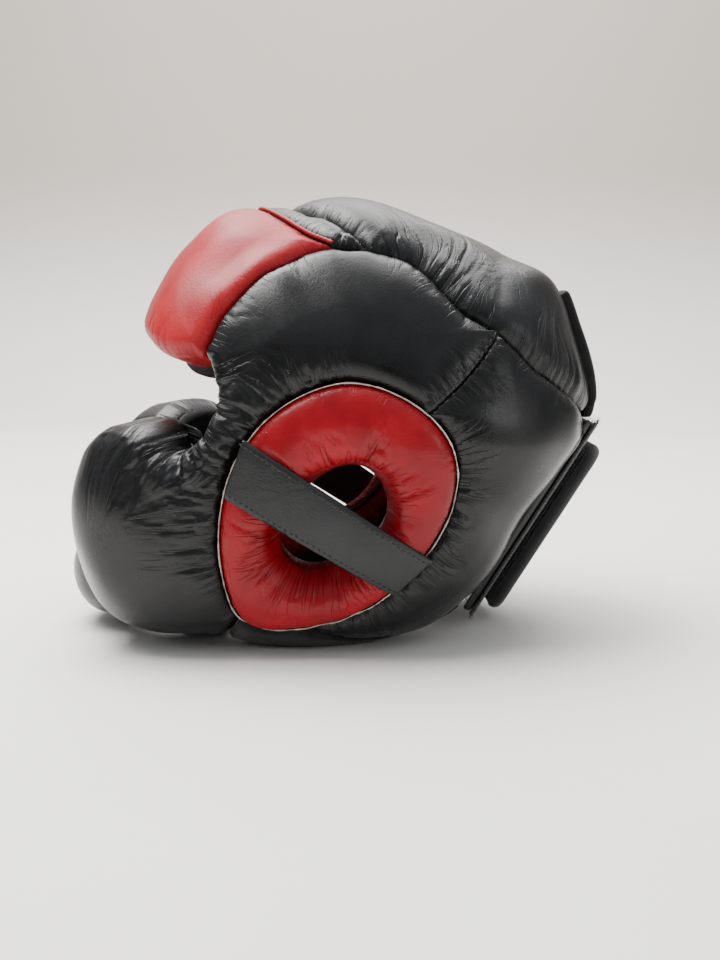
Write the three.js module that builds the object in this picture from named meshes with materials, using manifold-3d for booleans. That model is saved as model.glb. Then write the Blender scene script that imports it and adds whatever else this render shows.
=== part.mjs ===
// Full-coverage boxing headgear, lying on its lower rims with the brow tilted up.
// Millimetres, +Z up, +Y to the back of the head, +X to the wearer's left.
// Every padded panel is a stretch of one rounded hull: a closed surface around the
// ear axis, addressed by chart points [rear, up] in degrees of reach from the left
// ear pole. Neighbouring panels share their seam curves.

import * as THREE from 'three';
import { mergeVertices } from 'three/addons/utils/BufferGeometryUtils.js';
import Module from 'manifold-3d';

const wasm = await Module();
wasm.setup();

// ---------------------------------------------------------------- driving sizes

const HALF_WIDTH = 104;          // hull half width at the ear axis
const EAR_Y = 6.45;              // ear axis, back from the middle of the length
const EAR_Z = 110;               // ear axis above the floor
const TURN_STEPS = 16;           // facets once round the ear axis
const REACH_STEPS = 10;          // facets from the left pole to the right pole

const SKIN = 1.4;                // leather
const LINING = 1.6;              // suede lining
const GAP = 0.35;                // clearance between touching pieces
const SEAM_INSET = 0.24;         // half a seam's clearance, degrees of reach
const SKIN_INSET = 0.75;         // leather and clearance at a pad's wall, degrees
const FOAM_INSET = 0.2;          // play between the leather and the foam, degrees
const PUFF = 2.5;                // how far a filled panel stands over the hull
const BRIDGE_PUFF = 1.5;
const WING_PUFF = 1;
const RIM_PUFF = 2;

const FOREHEAD_DEPTH = 28;
const CROWN_DEPTH = 22;
const TEMPLE_DEPTH = 25;
const CHEEK_DEPTH = 36;
const WING_DEPTH = 15;
const RING_DEPTH = 24;
const RIM_DEPTH = 12;

const FAR_OUT = 400;             // larger than the whole headgear

const STRAP_THICKNESS = 2.4;
const CLOSURE_LEAN = 57.8;       // rise of the rear closure, degrees from level
const CLOSURE_RADIUS = 110;      // outer face of the rear flap, round the head
const CLOSURE_APEX = 126.9;      // outer face of the rear flap, out from the ear axis

// Side view of the hull: turn from the rear towards the top, radius, squareness.
const PROFILE = [
  [0, 131, 2.4], [24, 132, 2.2], [38, 135, 2.1], [50, 124, 2.1], [69, 119, 2.1],
  [90, 125, 2.1], [106, 127, 2.1], [120, 137, 2.2], [132, 138, 2.3], [145, 130, 2.6],
  [158, 126, 3.0], [175, 136, 3.8], [192, 149, 4.6], [205, 157, 4.8], [215, 157, 4.8],
  [224, 147, 4.6], [234, 131, 4.4], [250, 121, 4.0], [275, 114, 3.6], [300, 114, 3.0],
  [318, 111, 2.6], [335, 109, 2.4], [350, 120, 2.4],
];

// Seam curves on the left half, as chart points.
const SEAM = {
  foreheadSide: [[-34, 20], [-30, 27], [-25, 33], [-18, 43], [-9, 53.5]],
  piping: [[-9, 53.5], [-18, 63.5], [-28, 74], [-34.5, 83.2]],
  bridgeSide: [[-9, 53.5], [-2, 51], [5, 52.5]],
  crownBridge: [[5, 52.5], [2, 56.5], [-2, 60.5], [-7, 66], [-12, 69], [-20, 78.5], [-26, 86.2]],
  crownSide: [[5, 52.5], [11, 53], [17, 52], [23, 46], [29, 35], [34.5, 25.5]],
  crownWing: [[34.5, 25.5], [40, 22], [47, 17], [58, 12], [74.5, 5]],
  crownRear: [[74.5, 5], [82, 4.5], [90, 4]],
  sideWing: [[34.5, 25.5], [25.5, 15], [17, 6]],
  ringSide: [[17, 6], [9.5, 12], [-2, 14.6], [-8.5, 12.2], [-15, 8.5], [-20, 2], [-22.3, -8],
    [-23.3, -20], [-24.3, -32], [-23, -42.5]],
  ringJaw: [[-23, -42.5], [-14, -44]],
  ringWing: [[-14, -44], [-3, -42.5], [9.5, -36.5], [19.5, -26.5], [26.6, -16], [24.8, -4.5],
    [17, 6]],
  wingRear: [[74.5, 5], [71, -8], [68.5, -20], [64, -32], [56, -44], [44, -52], [34, -55]],
  wingLower: [[34, -55], [26, -57], [13, -57], [0, -52], [-14, -44]],
  jawRim: [[-23, -42.5], [-31, -49]],
  jaw: [[-31, -49], [-40, -52], [-50, -51]],
  mouth: [[-50, -51], [-60, -43], [-69, -31], [-74, -17], [-72, -6], [-64, 0]],
  cheekTop: [[-64, 0], [-55, 2.5], [-45, 4], [-38, 3], [-32, -1.5]],
  eyeCorner: [[-32, -1.5], [-28, 3], [-29, 11], [-34, 20]],
  brow: [[-81.6, 38], [-59.8, 27.9], [-45.3, 21.1], [-34, 20]],
  rimInner: [[-31, -49], [-28, -56], [-14, -62.5], [4, -64.5], [20, -63], [31, -60.5],
    [34, -55]],
};
const EAR_HOLE = [[-8.8, -8.3], [-3, -5], [3.5, -5.5], [9, -11.5], [9.7, -19], [4, -27.8],
  [-4.5, -31.5], [-12.5, -31.5], [-16.5, -25.5], [-15.7, -18], [-12.5, -12.5]];
const EAR_STRAP = [[-20.5, 1], [-9, -6], [-0.7, -14], [8.5, -20], [19, -27], [10, -36],
  [0.5, -30], [-10.5, -21.5], [-16, -13.5], [-22, -7]];
const CROWN_TAB_TURNS = [3, 33];
const CROWN_TAB_REACH = 79;

// ---------------------------------------------------------------- the hull

const HULL_CENTRE = new THREE.Vector3(0, EAR_Y, EAR_Z);
const toRadians = THREE.MathUtils.degToRad;
const toDegrees = THREE.MathUtils.radToDeg;

// Smooth periodic interpolation of one column of PROFILE.
function profileValue(turn, column) {
  const count = PROFILE.length;
  const at = (i) => {
    const row = PROFILE[(i + count) % count];
    return [row[0] + 360 * Math.floor(i / count), row[column]];
  };
  const wrapped = ((turn % 360) + 360) % 360;
  let i = 0;
  while (i < count - 1 && PROFILE[i + 1][0] <= wrapped) i += 1;
  const [[x0, y0], [x1, y1], [x2, y2], [x3, y3]] = [at(i - 1), at(i), at(i + 1), at(i + 2)];
  const span = x2 - x1;
  const t = (wrapped - x1) / span;
  const slopeIn = (y2 - y0) / (x2 - x0) * span;
  const slopeOut = (y3 - y1) / (x3 - x1) * span;
  const t2 = t * t;
  const t3 = t2 * t;
  return (2 * t3 - 3 * t2 + 1) * y1 + (t3 - 2 * t2 + t) * slopeIn
    + (3 * t2 - 2 * t3) * y2 + (t3 - t2) * slopeOut;
}

function hullPoint(turn, reach, offset = 0) {
  const square = profileValue(turn, 2);
  const c = Math.cos(toRadians(reach));
  const s = Math.sin(toRadians(reach));
  const round = (Math.abs(c) ** square + Math.abs(s) ** square) ** (-1 / square);
  const radius = (profileValue(turn, 1) + offset) * round * s;
  return new THREE.Vector3(
    (HALF_WIDTH + offset) * round * c,
    EAR_Y + radius * Math.cos(toRadians(turn)),
    EAR_Z + radius * Math.sin(toRadians(turn)),
  );
}

function chartToHull([rear, up], offset = 0) {
  return hullPoint(toDegrees(Math.atan2(up, rear)), Math.hypot(rear, up), offset);
}

// ---------------------------------------------------------------- solids

function solidFromArrays(positions, triangles) {
  const mesh = new wasm.Mesh({
    numProp: 3,
    vertProperties: new Float32Array(positions),
    triVerts: new Uint32Array(triangles),
  });
  return new wasm.Manifold(mesh);
}

function solidFromGeometry(geometry) {
  const bare = geometry.clone();
  bare.deleteAttribute('normal');
  bare.deleteAttribute('uv');
  const merged = mergeVertices(bare, 1e-3);
  return solidFromArrays(merged.attributes.position.array, merged.index.array);
}

// The whole closed hull, grown or shrunk; offset is a number or a function of place.
function hullSolid(offset) {
  const offsetAt = typeof offset === 'function' ? offset : () => offset;
  const positions = [];
  const triangles = [];
  const addPoint = (turn, reach) => {
    positions.push(...hullPoint(turn, reach, offsetAt(turn, reach)).toArray());
  };
  addPoint(0, 0);
  for (let j = 1; j < REACH_STEPS; j += 1) {
    for (let i = 0; i < TURN_STEPS; i += 1) {
      addPoint(i * 360 / TURN_STEPS, j * 180 / REACH_STEPS);
    }
  }
  addPoint(0, 180);
  const rightPole = positions.length / 3 - 1;
  const index = (i, j) => 1 + (j - 1) * TURN_STEPS + (i % TURN_STEPS);
  for (let i = 0; i < TURN_STEPS; i += 1) {
    triangles.push(0, index(i, 1), index(i + 1, 1));
    for (let j = 1; j < REACH_STEPS - 1; j += 1) {
      triangles.push(index(i, j), index(i, j + 1), index(i + 1, j + 1));
      triangles.push(index(i, j), index(i + 1, j + 1), index(i + 1, j));
    }
    triangles.push(rightPole, index(i + 1, REACH_STEPS - 1), index(i, REACH_STEPS - 1));
  }
  return solidFromArrays(positions, triangles);
}

// Smooth open curve through chart points, sampled a few times in each span.
function sampleSeam(points, perSpan = 1) {
  const vectors = points.map(([rear, up]) => new THREE.Vector3(rear, up, 0));
  const curve = new THREE.CatmullRomCurve3(vectors, false, 'centripetal');
  return curve.getPoints((points.length - 1) * perSpan).map((p) => [p.x, p.y]);
}

const reversed = (points) => [...points].reverse();

// A chart point's mirror image on the right half.
function mirrorChart([rear, up]) {
  const reach = Math.hypot(rear, up);
  const scale = (180 - reach) / reach;
  return [rear * scale, up * scale];
}

// Joins seam curves end to end into one closed chart outline.
function joinSeams(...seams) {
  return seams.flatMap((seam) => sampleSeam(seam).slice(0, -1));
}

// Adds the right half to a left half that starts and ends on the middle plane.
function acrossMiddle(...seams) {
  const half = seams.flatMap((seam, k) => sampleSeam(seam).slice(k === 0 ? 0 : 1));
  return [...half, ...reversed(half).slice(1, -1).map(mirrorChart)];
}

function counterClockwise(points) {
  const area = THREE.ShapeUtils.area(points.map(([x, y]) => new THREE.Vector2(x, y)));
  return area > 0 ? points : reversed(points);
}

// Moves a closed outline inwards; a negative distance moves it outwards.
function inset(points, distance) {
  const ring = counterClockwise(points);
  const count = ring.length;
  return ring.map((point, i) => {
    const before = ring[(i + count - 1) % count];
    const after = ring[(i + 1) % count];
    const edge = (a, b) => new THREE.Vector2(b[0] - a[0], b[1] - a[1]).normalize();
    const edgeIn = edge(before, point);
    const edgeOut = edge(point, after);
    const normal = new THREE.Vector2(-edgeIn.y - edgeOut.y, edgeIn.x + edgeOut.x).normalize();
    const cosine = normal.dot(new THREE.Vector2(-edgeIn.y, edgeIn.x));
    const step = distance / Math.max(cosine, 0.3);
    return [point[0] + normal.x * step, point[1] + normal.y * step];
  });
}

// A wedge that opens outwards from the hull's centre, with the outline as its section.
function wedge(outline) {
  const NEAR = 0.12;
  const FAR = 6;
  const ring = counterClockwise(outline);
  const count = ring.length;
  const contour = ring.map(([x, y]) => new THREE.Vector2(x, y));
  const faces = THREE.ShapeUtils.triangulateShape(contour, []);
  const rays = ring.map((point) => chartToHull(point).sub(HULL_CENTRE));
  const positions = [NEAR, FAR].flatMap((scale) => (
    rays.flatMap((ray) => ray.clone().multiplyScalar(scale).add(HULL_CENTRE).toArray())
  ));
  const triangles = faces.flatMap(([a, b, c]) => [a, c, b, a + count, b + count, c + count]);
  for (let i = 0; i < count; i += 1) {
    const next = (i + 1) % count;
    triangles.push(i, next, next + count, i, next + count, i + count);
  }
  return solidFromArrays(positions, triangles);
}

// A stretch of the hull between two offsets, over an outline.
function panel(outline, outer, inner) {
  return wedge(outline).intersect(hullSolid(outer)).subtract(hullSolid(inner));
}

const deeper = (offset, by) => (
  typeof offset === 'function' ? (turn, reach) => offset(turn, reach) + by : offset + by
);

// Leather cover, foam and lining of one padded panel.
function paddedPanel(outline, inner, outer = PUFF, hole = null) {
  const edge = inset(outline, SEAM_INSET);
  const foamEdge = inset(outline, SEAM_INSET + SKIN_INSET);
  const cavityEdge = inset(outline, SEAM_INSET + SKIN_INSET - FOAM_INSET);
  const liningTop = deeper(inner, LINING - GAP);
  const foamBase = deeper(inner, LINING);
  const pierce = (solid, grow) => (hole ? solid.subtract(wedge(inset(hole, grow))) : solid);
  const hollow = wedge(cavityEdge).intersect(hullSolid(outer - SKIN));
  const cavity = pierce(hollow, FOAM_INSET - SKIN_INSET);
  const cover = pierce(panel(edge, outer, foamBase), 0).subtract(cavity);
  const foam = pierce(panel(foamEdge, outer - SKIN - GAP, foamBase), -SKIN_INSET);
  const lining = pierce(panel(edge, liningTop, inner), 0);
  return { cover, foam, lining };
}

// ---------------------------------------------------------------- meshes

function leather(color, roughness = 0.45) {
  return new THREE.MeshStandardMaterial({ color, roughness, metalness: 0 });
}

const BLACK_LEATHER = leather(0x1c1d1f);
const RED_LEATHER = leather(0x9c1420, 0.4);
const BLACK_SUEDE = leather(0x121316, 0.95);
const RAW_EDGE = leather(0xd8cfc0, 0.9);
const FOAM = leather(0x8f8a7c, 1);
const HOOK_TAPE = leather(0x0d0d0f, 0.8);
const VELOUR = leather(0x0a0a0c, 1);

const headgear = new THREE.Group();

function addMesh(name, solid, material, mirrored = false) {
  const { vertProperties, triVerts, numProp } = solid.getMesh();
  const positions = [];
  for (let i = 0; i < vertProperties.length; i += numProp) {
    const x = mirrored ? -vertProperties[i] : vertProperties[i];
    positions.push(x, vertProperties[i + 1], vertProperties[i + 2]);
  }
  const triangles = mirrored ? Array.from(triVerts).reverse() : Array.from(triVerts);
  const geometry = new THREE.BufferGeometry();
  geometry.setAttribute('position', new THREE.Float32BufferAttribute(positions, 3));
  geometry.setIndex(triangles);
  geometry.computeVertexNormals();
  const mesh = new THREE.Mesh(geometry, material);
  mesh.name = name;
  headgear.add(mesh);
}

function addPair(name, solid, material) {
  addMesh(`left_${name}`, solid, material);
  addMesh(`right_${name}`, solid, material, true);
}

// ---------------------------------------------------------------- forehead and crown

const foreheadOutline = acrossMiddle(SEAM.brow, SEAM.foreheadSide, SEAM.piping);
const forehead = paddedPanel(foreheadOutline, -FOREHEAD_DEPTH);
addMesh('forehead_cover', forehead.cover, RED_LEATHER);
addMesh('forehead_foam', forehead.foam, FOAM);
addMesh('forehead_lining', forehead.lining, BLACK_LEATHER);

const bridgeOutline = acrossMiddle(
  reversed(SEAM.piping),
  SEAM.bridgeSide,
  SEAM.crownBridge,
);
const bridge = paddedPanel(bridgeOutline, -CROWN_DEPTH, BRIDGE_PUFF);
addMesh('crown_bridge_cover', bridge.cover, BLACK_LEATHER);
addMesh('crown_bridge_foam', bridge.foam, FOAM);

const crownOutline = acrossMiddle(
  reversed(SEAM.crownBridge),
  SEAM.crownSide,
  SEAM.crownWing,
  SEAM.crownRear,
);
const crown = paddedPanel(crownOutline, -CROWN_DEPTH);
addMesh('crown_cover', crown.cover, BLACK_LEATHER);
addMesh('crown_foam', crown.foam, FOAM);

// One lining backs the crown and the bridge in front of it.
const crownLiningOutline = acrossMiddle(
  reversed(SEAM.piping),
  SEAM.bridgeSide,
  SEAM.crownSide,
  SEAM.crownWing,
  SEAM.crownRear,
);
const crownLining = paddedPanel(crownLiningOutline, -CROWN_DEPTH).lining;
addMesh('crown_lining', crownLining, BLACK_LEATHER);

// Suede tab that closes the crown's rear end.
function crownTabOutline() {
  const [low, high] = CROWN_TAB_TURNS;
  const chart = (turn, reach) => [
    reach * Math.cos(toRadians(turn)),
    reach * Math.sin(toRadians(turn)),
  ];
  const corner = 4;
  return acrossMiddle(
    [chart(low, 90), chart(low, CROWN_TAB_REACH + corner)],
    [chart(low, CROWN_TAB_REACH + corner), chart(low + corner, CROWN_TAB_REACH)],
    [chart(low + corner, CROWN_TAB_REACH), chart(high, CROWN_TAB_REACH)],
    [chart(high, CROWN_TAB_REACH), chart(high, 90)],
  );
}
const TAB_BASE = PUFF + GAP;
const TAB_THICKNESS = 4;
const crownTab = panel(crownTabOutline(), TAB_BASE + TAB_THICKNESS, TAB_BASE);
addMesh('crown_rear_tab', crownTab, BLACK_SUEDE);

// Round piping along the forehead's top seam.
const PIPING_RADIUS = 1.6;
function sweptTube(points, radiusAcross, radiusUp, steps, sides) {
  const outline = new THREE.Shape(Array.from({ length: sides }, (_, i) => {
    const angle = i / sides * Math.PI * 2;
    return new THREE.Vector2(radiusUp * Math.cos(angle), radiusAcross * Math.sin(angle));
  }));
  const path = new THREE.CatmullRomCurve3(points, false, 'centripetal');
  return new THREE.ExtrudeGeometry(outline, { steps, extrudePath: path, bevelEnabled: false });
}
const pipingHalf = sampleSeam(SEAM.piping, 1);
const pipingLine = [...pipingHalf, ...reversed(pipingHalf).slice(1).map(mirrorChart)];
const pipingPath = pipingLine.map((point) => chartToHull(point, PUFF + 2 * GAP + PIPING_RADIUS));
const piping = solidFromGeometry(sweptTube(pipingPath, PIPING_RADIUS, PIPING_RADIUS, 20, 6));
addMesh('forehead_piping', piping, RED_LEATHER);

// ---------------------------------------------------------------- sides

// The panel thickens from the temple to the cheek.
const CHEEK_FORWARD = [24, 44];
const CHEEK_TURNS = [155, 250];
function sideInner(turn, reach) {
  const forward = -reach * Math.cos(toRadians(turn));
  const share = THREE.MathUtils.smoothstep(forward, ...CHEEK_FORWARD);
  const below = turn > CHEEK_TURNS[0] && turn < CHEEK_TURNS[1] ? 1 : 0;
  return -(TEMPLE_DEPTH + (CHEEK_DEPTH - TEMPLE_DEPTH) * share * below);
}

const sideOutline = joinSeams(
  SEAM.foreheadSide,
  SEAM.bridgeSide,
  SEAM.crownSide,
  SEAM.sideWing,
  SEAM.ringSide,
  SEAM.jawRim,
  SEAM.jaw,
  SEAM.mouth,
  SEAM.cheekTop,
  SEAM.eyeCorner,
);
const side = paddedPanel(sideOutline, sideInner);
addPair('side_cover', side.cover, BLACK_LEATHER);
addPair('side_lining', side.lining, BLACK_LEATHER);

// The foam is in two blocks that meet on a slanted plane at the waist beside the eye.
const WAIST = [-27, -2.5];
const WAIST_SLANT = 41;
function belowWaist(lift) {
  const geometry = new THREE.BoxGeometry(2 * FAR_OUT, 2 * FAR_OUT, FAR_OUT);
  geometry.translate(0, 0, lift - FAR_OUT / 2);
  geometry.rotateX(-toRadians(WAIST_SLANT));
  const waist = chartToHull(WAIST);
  geometry.translate(0, waist.y, waist.z);
  return solidFromGeometry(geometry);
}
addPair('temple_foam', side.foam.subtract(belowWaist(GAP)), FOAM);
addPair('cheek_foam', side.foam.intersect(belowWaist(0)), FOAM);

// What is cut out of a panel's neighbours is a little larger than the panel.
const BLANK_GROWTH = 0.1;        // degrees of reach

const wingOutline = joinSeams(
  SEAM.crownWing,
  SEAM.wingRear,
  SEAM.wingLower,
  SEAM.ringWing,
  reversed(SEAM.sideWing),
);
const wing = paddedPanel(wingOutline, -WING_DEPTH, WING_PUFF);
addPair('wing_cover', wing.cover, BLACK_LEATHER);
addPair('wing_foam', wing.foam, FOAM);
addPair('wing_lining', wing.lining, BLACK_LEATHER);

// ---------------------------------------------------------------- ear rings and straps

const ringOutline = joinSeams(SEAM.ringSide, SEAM.ringJaw, SEAM.ringWing);
const TRIM_WIDTH = 1.3;          // degrees of reach left free for it
const TRIM_RADIUS = 0.55;
const TRIM_DEPTH = 3.2;          // below the panels' faces, clear of the strap
const trimPath = inset(ringOutline, TRIM_WIDTH / 2)
  .map((point) => chartToHull(point, PUFF - TRIM_DEPTH));
const trim = solidFromGeometry(sweptTube(trimPath, TRIM_RADIUS, TRIM_RADIUS, 30, 4));
addPair('ear_ring_edge', trim, RAW_EDGE);

function closedCurve(points, perSpan) {
  const vectors = points.map(([rear, up]) => new THREE.Vector3(rear, up, 0));
  const curve = new THREE.CatmullRomCurve3(vectors, true, 'centripetal');
  return curve.getPoints(points.length * perSpan).slice(0, -1).map((p) => [p.x, p.y]);
}
const earHole = closedCurve(EAR_HOLE, 1);
const ring = paddedPanel(inset(ringOutline, TRIM_WIDTH), -RING_DEPTH, PUFF, earHole);
addPair('ear_ring_cover', ring.cover, RED_LEATHER);
addPair('ear_ring_foam', ring.foam, FOAM);
addPair('ear_ring_lining', ring.lining, BLACK_LEATHER);

const strapBase = PUFF + GAP;
addPair('ear_strap', panel(EAR_STRAP, strapBase + STRAP_THICKNESS, strapBase), BLACK_LEATHER);

// ---------------------------------------------------------------- lower rims

function boxSolid(low, high) {
  const size = new THREE.Vector3().subVectors(high, low);
  const geometry = new THREE.BoxGeometry(size.x, size.y, size.z);
  geometry.translate(low.x + size.x / 2, low.y + size.y / 2, low.z + size.z / 2);
  return solidFromGeometry(geometry);
}
const belowFloor = boxSolid(
  new THREE.Vector3(-FAR_OUT, -FAR_OUT, -FAR_OUT),
  new THREE.Vector3(FAR_OUT, FAR_OUT, 0),
);
const rimOutline = joinSeams(
  SEAM.ringJaw,
  reversed(SEAM.wingLower),
  reversed(SEAM.rimInner),
  reversed(SEAM.jawRim),
);
const rim = panel(inset(rimOutline, SEAM_INSET), RIM_PUFF, -RIM_DEPTH).subtract(belowFloor);
addPair('lower_rim', rim, BLACK_SUEDE);

// ---------------------------------------------------------------- chin bar

const CHIN_BAR_HEIGHT = 46;
const CHIN_BAR_DEPTH = 34;
const chinBarPath = [
  [-40, -112, 29], [-20, -130.5, 26.5], [0, -136, 26], [20, -130.5, 26.5], [40, -112, 29],
].map(([x, forward, z]) => new THREE.Vector3(x, EAR_Y + forward, z));
function chinBarSolid(shrink) {
  const depth = CHIN_BAR_DEPTH / 2 - shrink;
  const height = CHIN_BAR_HEIGHT / 2 - shrink;
  return solidFromGeometry(sweptTube(chinBarPath, depth, height, 6, 10));
}
const cheekOutline = inset(sideOutline, -BLANK_GROWTH);
const cheekBlank = panel(cheekOutline, PUFF + GAP, deeper(sideInner, -GAP));
const rightCheekBlank = cheekBlank.mirror([1, 0, 0]);
const BAR_HALF_SPAN = 31;
const BAR_LOWEST = 0.4;
const barSpan = boxSolid(
  new THREE.Vector3(-BAR_HALF_SPAN, -FAR_OUT, BAR_LOWEST),
  new THREE.Vector3(BAR_HALF_SPAN, 0, FAR_OUT),
);
function trimChinBar(solid) {
  return solid.intersect(barSpan).subtract(cheekBlank).subtract(rightCheekBlank);
}
const chinBarCover = chinBarSolid(0).subtract(chinBarSolid(SKIN));
addMesh('chin_bar_cover', trimChinBar(chinBarCover), BLACK_LEATHER);
addMesh('chin_bar_foam', trimChinBar(chinBarSolid(SKIN + GAP)), FOAM);

// ---------------------------------------------------------------- rear closure

// Closure frame, from the ear axis: x across, s up along the closure, d out to the rear.
const lean = toRadians(CLOSURE_LEAN);
const alongClosure = new THREE.Vector3(0, Math.cos(lean), Math.sin(lean));
const outOfClosure = new THREE.Vector3(0, Math.sin(lean), -Math.cos(lean));
const acrossClosure = new THREE.Vector3(1, 0, 0);
const closureCentre = CLOSURE_APEX - CLOSURE_RADIUS;

function closurePlate(xRange, sRange, radii, corner) {
  const [x0, x1] = xRange;
  const [s0, s1] = sRange;
  const [inner, outer] = radii;
  const arcPoints = (radius) => {
    const steps = 8;
    return Array.from({ length: steps + 1 }, (_, i) => {
      const x = x0 + (x1 - x0) * i / steps;
      return new THREE.Vector2(x, closureCentre + Math.sqrt(radius ** 2 - x ** 2));
    });
  };
  const section = new THREE.Shape([...arcPoints(inner), ...reversed(arcPoints(outer))]);
  const bent = new THREE.ExtrudeGeometry(section, { depth: s1 - s0, bevelEnabled: false });
  bent.translate(0, 0, s0);
  bent.applyMatrix4(
    new THREE.Matrix4().makeBasis(acrossClosure, outOfClosure, alongClosure),
  );
  bent.translate(0, EAR_Y, EAR_Z);
  if (!corner) return solidFromGeometry(bent);
  const face = new THREE.Shape();
  face.moveTo(x0 - 1, s0);
  face.lineTo(x1 - corner, s0);
  face.absarc(x1 - corner, s0 + corner, corner, -Math.PI / 2, 0, false);
  face.absarc(x1 - corner, s1 - corner, corner, 0, Math.PI / 2, false);
  face.lineTo(x0 - 1, s1);
  const block = new THREE.ExtrudeGeometry(face, {
    depth: FAR_OUT,
    bevelEnabled: false,
    curveSegments: 4,
  });
  block.translate(0, 0, -FAR_OUT);
  block.applyMatrix4(
    new THREE.Matrix4().makeBasis(
      acrossClosure,
      alongClosure,
      outOfClosure.clone().negate(),
    ),
  );
  block.translate(0, EAR_Y, EAR_Z);
  return solidFromGeometry(bent).intersect(solidFromGeometry(block));
}

const wingReach = inset(wingOutline, -BLANK_GROWTH);
const wingBlank = panel(wingReach, WING_PUFF + GAP, -WING_DEPTH - GAP);
const wingBlanks = wingBlank.add(wingBlank.mirror([1, 0, 0]));

// Each layer's stretch across (x) and along the closure, from the inside out.
const TONGUE_X = [-29, 33];
const TONGUE_S = [-44, 69];
const TONGUE_THICKNESS = 4.5;
const LOOP_X = [-25, 31];
const LOOP_THICKNESS = 2.1;
const HOOK_X = [-22, 18];
const HOOK_MARGIN = 5;           // in from the flap's ends
const HOOK_THICKNESS = 1.9;
const HOOK_CORNER = 4;
const FLAP_X = [-37, 22];
const FLAP_S = [-38, 60];
const FLAP_THICKNESS = 7.4;
const FLAP_CORNER = 12;
const ROOT_REACH = 15;           // the root runs on from the flap's hinge side
const ROOT_GAP = 0.5;
const ROOT_STEP = 0.6;           // its face lies a little lower than the flap's

const flapInner = CLOSURE_RADIUS - FLAP_THICKNESS;
const hookRadii = [flapInner - GAP - HOOK_THICKNESS, flapInner - GAP];
const loopOuter = hookRadii[0] - GAP;
const tongueOuter = loopOuter - LOOP_THICKNESS - GAP;
const loopRadii = [loopOuter - LOOP_THICKNESS, loopOuter];
const tongueRadii = [tongueOuter - TONGUE_THICKNESS, tongueOuter];
const hookS = [FLAP_S[0] + HOOK_MARGIN, FLAP_S[1] - HOOK_MARGIN];
const rootX = [FLAP_X[0] - ROOT_REACH, FLAP_X[0] - ROOT_GAP];
const rootRadii = [tongueOuter, CLOSURE_RADIUS - ROOT_STEP];

const tongue = closurePlate(TONGUE_X, TONGUE_S, tongueRadii);
addMesh('rear_tongue', tongue.subtract(wingBlanks), BLACK_LEATHER);
const loopPatch = closurePlate(LOOP_X, TONGUE_S, loopRadii);
addMesh('rear_loop_patch', loopPatch.subtract(wingBlanks), HOOK_TAPE);
addMesh('rear_hook_patch', closurePlate(HOOK_X, hookS, hookRadii, HOOK_CORNER), HOOK_TAPE);
const flap = closurePlate(FLAP_X, FLAP_S, [flapInner, CLOSURE_RADIUS], FLAP_CORNER);
addMesh('rear_flap', flap, VELOUR);
const root = closurePlate(rootX, FLAP_S, rootRadii);
addMesh('rear_flap_root', root.subtract(wingBlanks), BLACK_LEATHER);

// ---------------------------------------------------------------- chin strap

const CHIN_STRAP_Y = [-88, -63];
const CHIN_STRAP_END = 43;
const OUTER_STRAP_TIP = 20;
const INNER_STRAP_TIP = -16;
const CHIN_HOOK_X = [-8, 18];
const CHIN_LOOP_X = [-14, 22];
const PATCH_MARGIN = 2;          // in from the strap's edges
const PATCH_THICKNESS = 1.2;
function strapLayer(xRange, level, thickness, margin = 0) {
  return boxSolid(
    new THREE.Vector3(xRange[0], CHIN_STRAP_Y[0] + margin, level),
    new THREE.Vector3(xRange[1], CHIN_STRAP_Y[1] - margin, level + thickness),
  );
}
const outerStrapTop = STRAP_THICKNESS;
const hookLevel = outerStrapTop + GAP;
const loopLevel = hookLevel + PATCH_THICKNESS + GAP;
const innerStrapLevel = loopLevel + PATCH_THICKNESS + GAP;
const cheekBlanks = cheekBlank.add(rightCheekBlank);
const outerStrap = strapLayer([-CHIN_STRAP_END, OUTER_STRAP_TIP], 0, STRAP_THICKNESS);
addMesh('right_chin_strap', outerStrap.subtract(cheekBlanks), BLACK_LEATHER);
const hookTape = strapLayer(CHIN_HOOK_X, hookLevel, PATCH_THICKNESS, PATCH_MARGIN);
addMesh('chin_hook_patch', hookTape, HOOK_TAPE);
const loopTape = strapLayer(CHIN_LOOP_X, loopLevel, PATCH_THICKNESS, PATCH_MARGIN);
addMesh('chin_loop_patch', loopTape, HOOK_TAPE);
const innerStrapX = [INNER_STRAP_TIP, CHIN_STRAP_END];
const innerStrap = strapLayer(innerStrapX, innerStrapLevel, STRAP_THICKNESS);
addMesh('left_chin_strap', innerStrap.subtract(cheekBlanks), BLACK_LEATHER);

export default headgear;
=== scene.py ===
import math

import bpy
import numpy as np
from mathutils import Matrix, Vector, geometry, kdtree


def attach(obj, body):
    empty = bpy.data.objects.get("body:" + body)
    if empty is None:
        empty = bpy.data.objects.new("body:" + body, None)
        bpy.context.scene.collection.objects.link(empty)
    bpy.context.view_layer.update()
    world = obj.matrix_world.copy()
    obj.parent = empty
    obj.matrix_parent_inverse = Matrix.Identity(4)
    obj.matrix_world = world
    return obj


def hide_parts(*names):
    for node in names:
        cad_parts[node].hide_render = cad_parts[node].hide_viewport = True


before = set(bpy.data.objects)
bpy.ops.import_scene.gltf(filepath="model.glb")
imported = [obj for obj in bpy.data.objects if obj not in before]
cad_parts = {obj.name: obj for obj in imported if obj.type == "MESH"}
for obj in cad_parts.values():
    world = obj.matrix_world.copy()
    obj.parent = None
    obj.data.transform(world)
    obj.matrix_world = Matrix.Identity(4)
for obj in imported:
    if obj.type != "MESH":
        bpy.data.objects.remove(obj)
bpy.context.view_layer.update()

# Boxing headgear lying on its lower rims. Its pieces are worked out in millimetres in the CAD
# frame (+Z up, +Y to the back, +X to the wearer's left) and turned into metres at the end.

MM = 0.001
MIRROR = [-1, 1, 1]      # the right half of the headgear mirrors the left
STEP = 1.15         # spacing of points on a pad
EDGE_STEP = 0.9     # spacing of points along its seams

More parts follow.
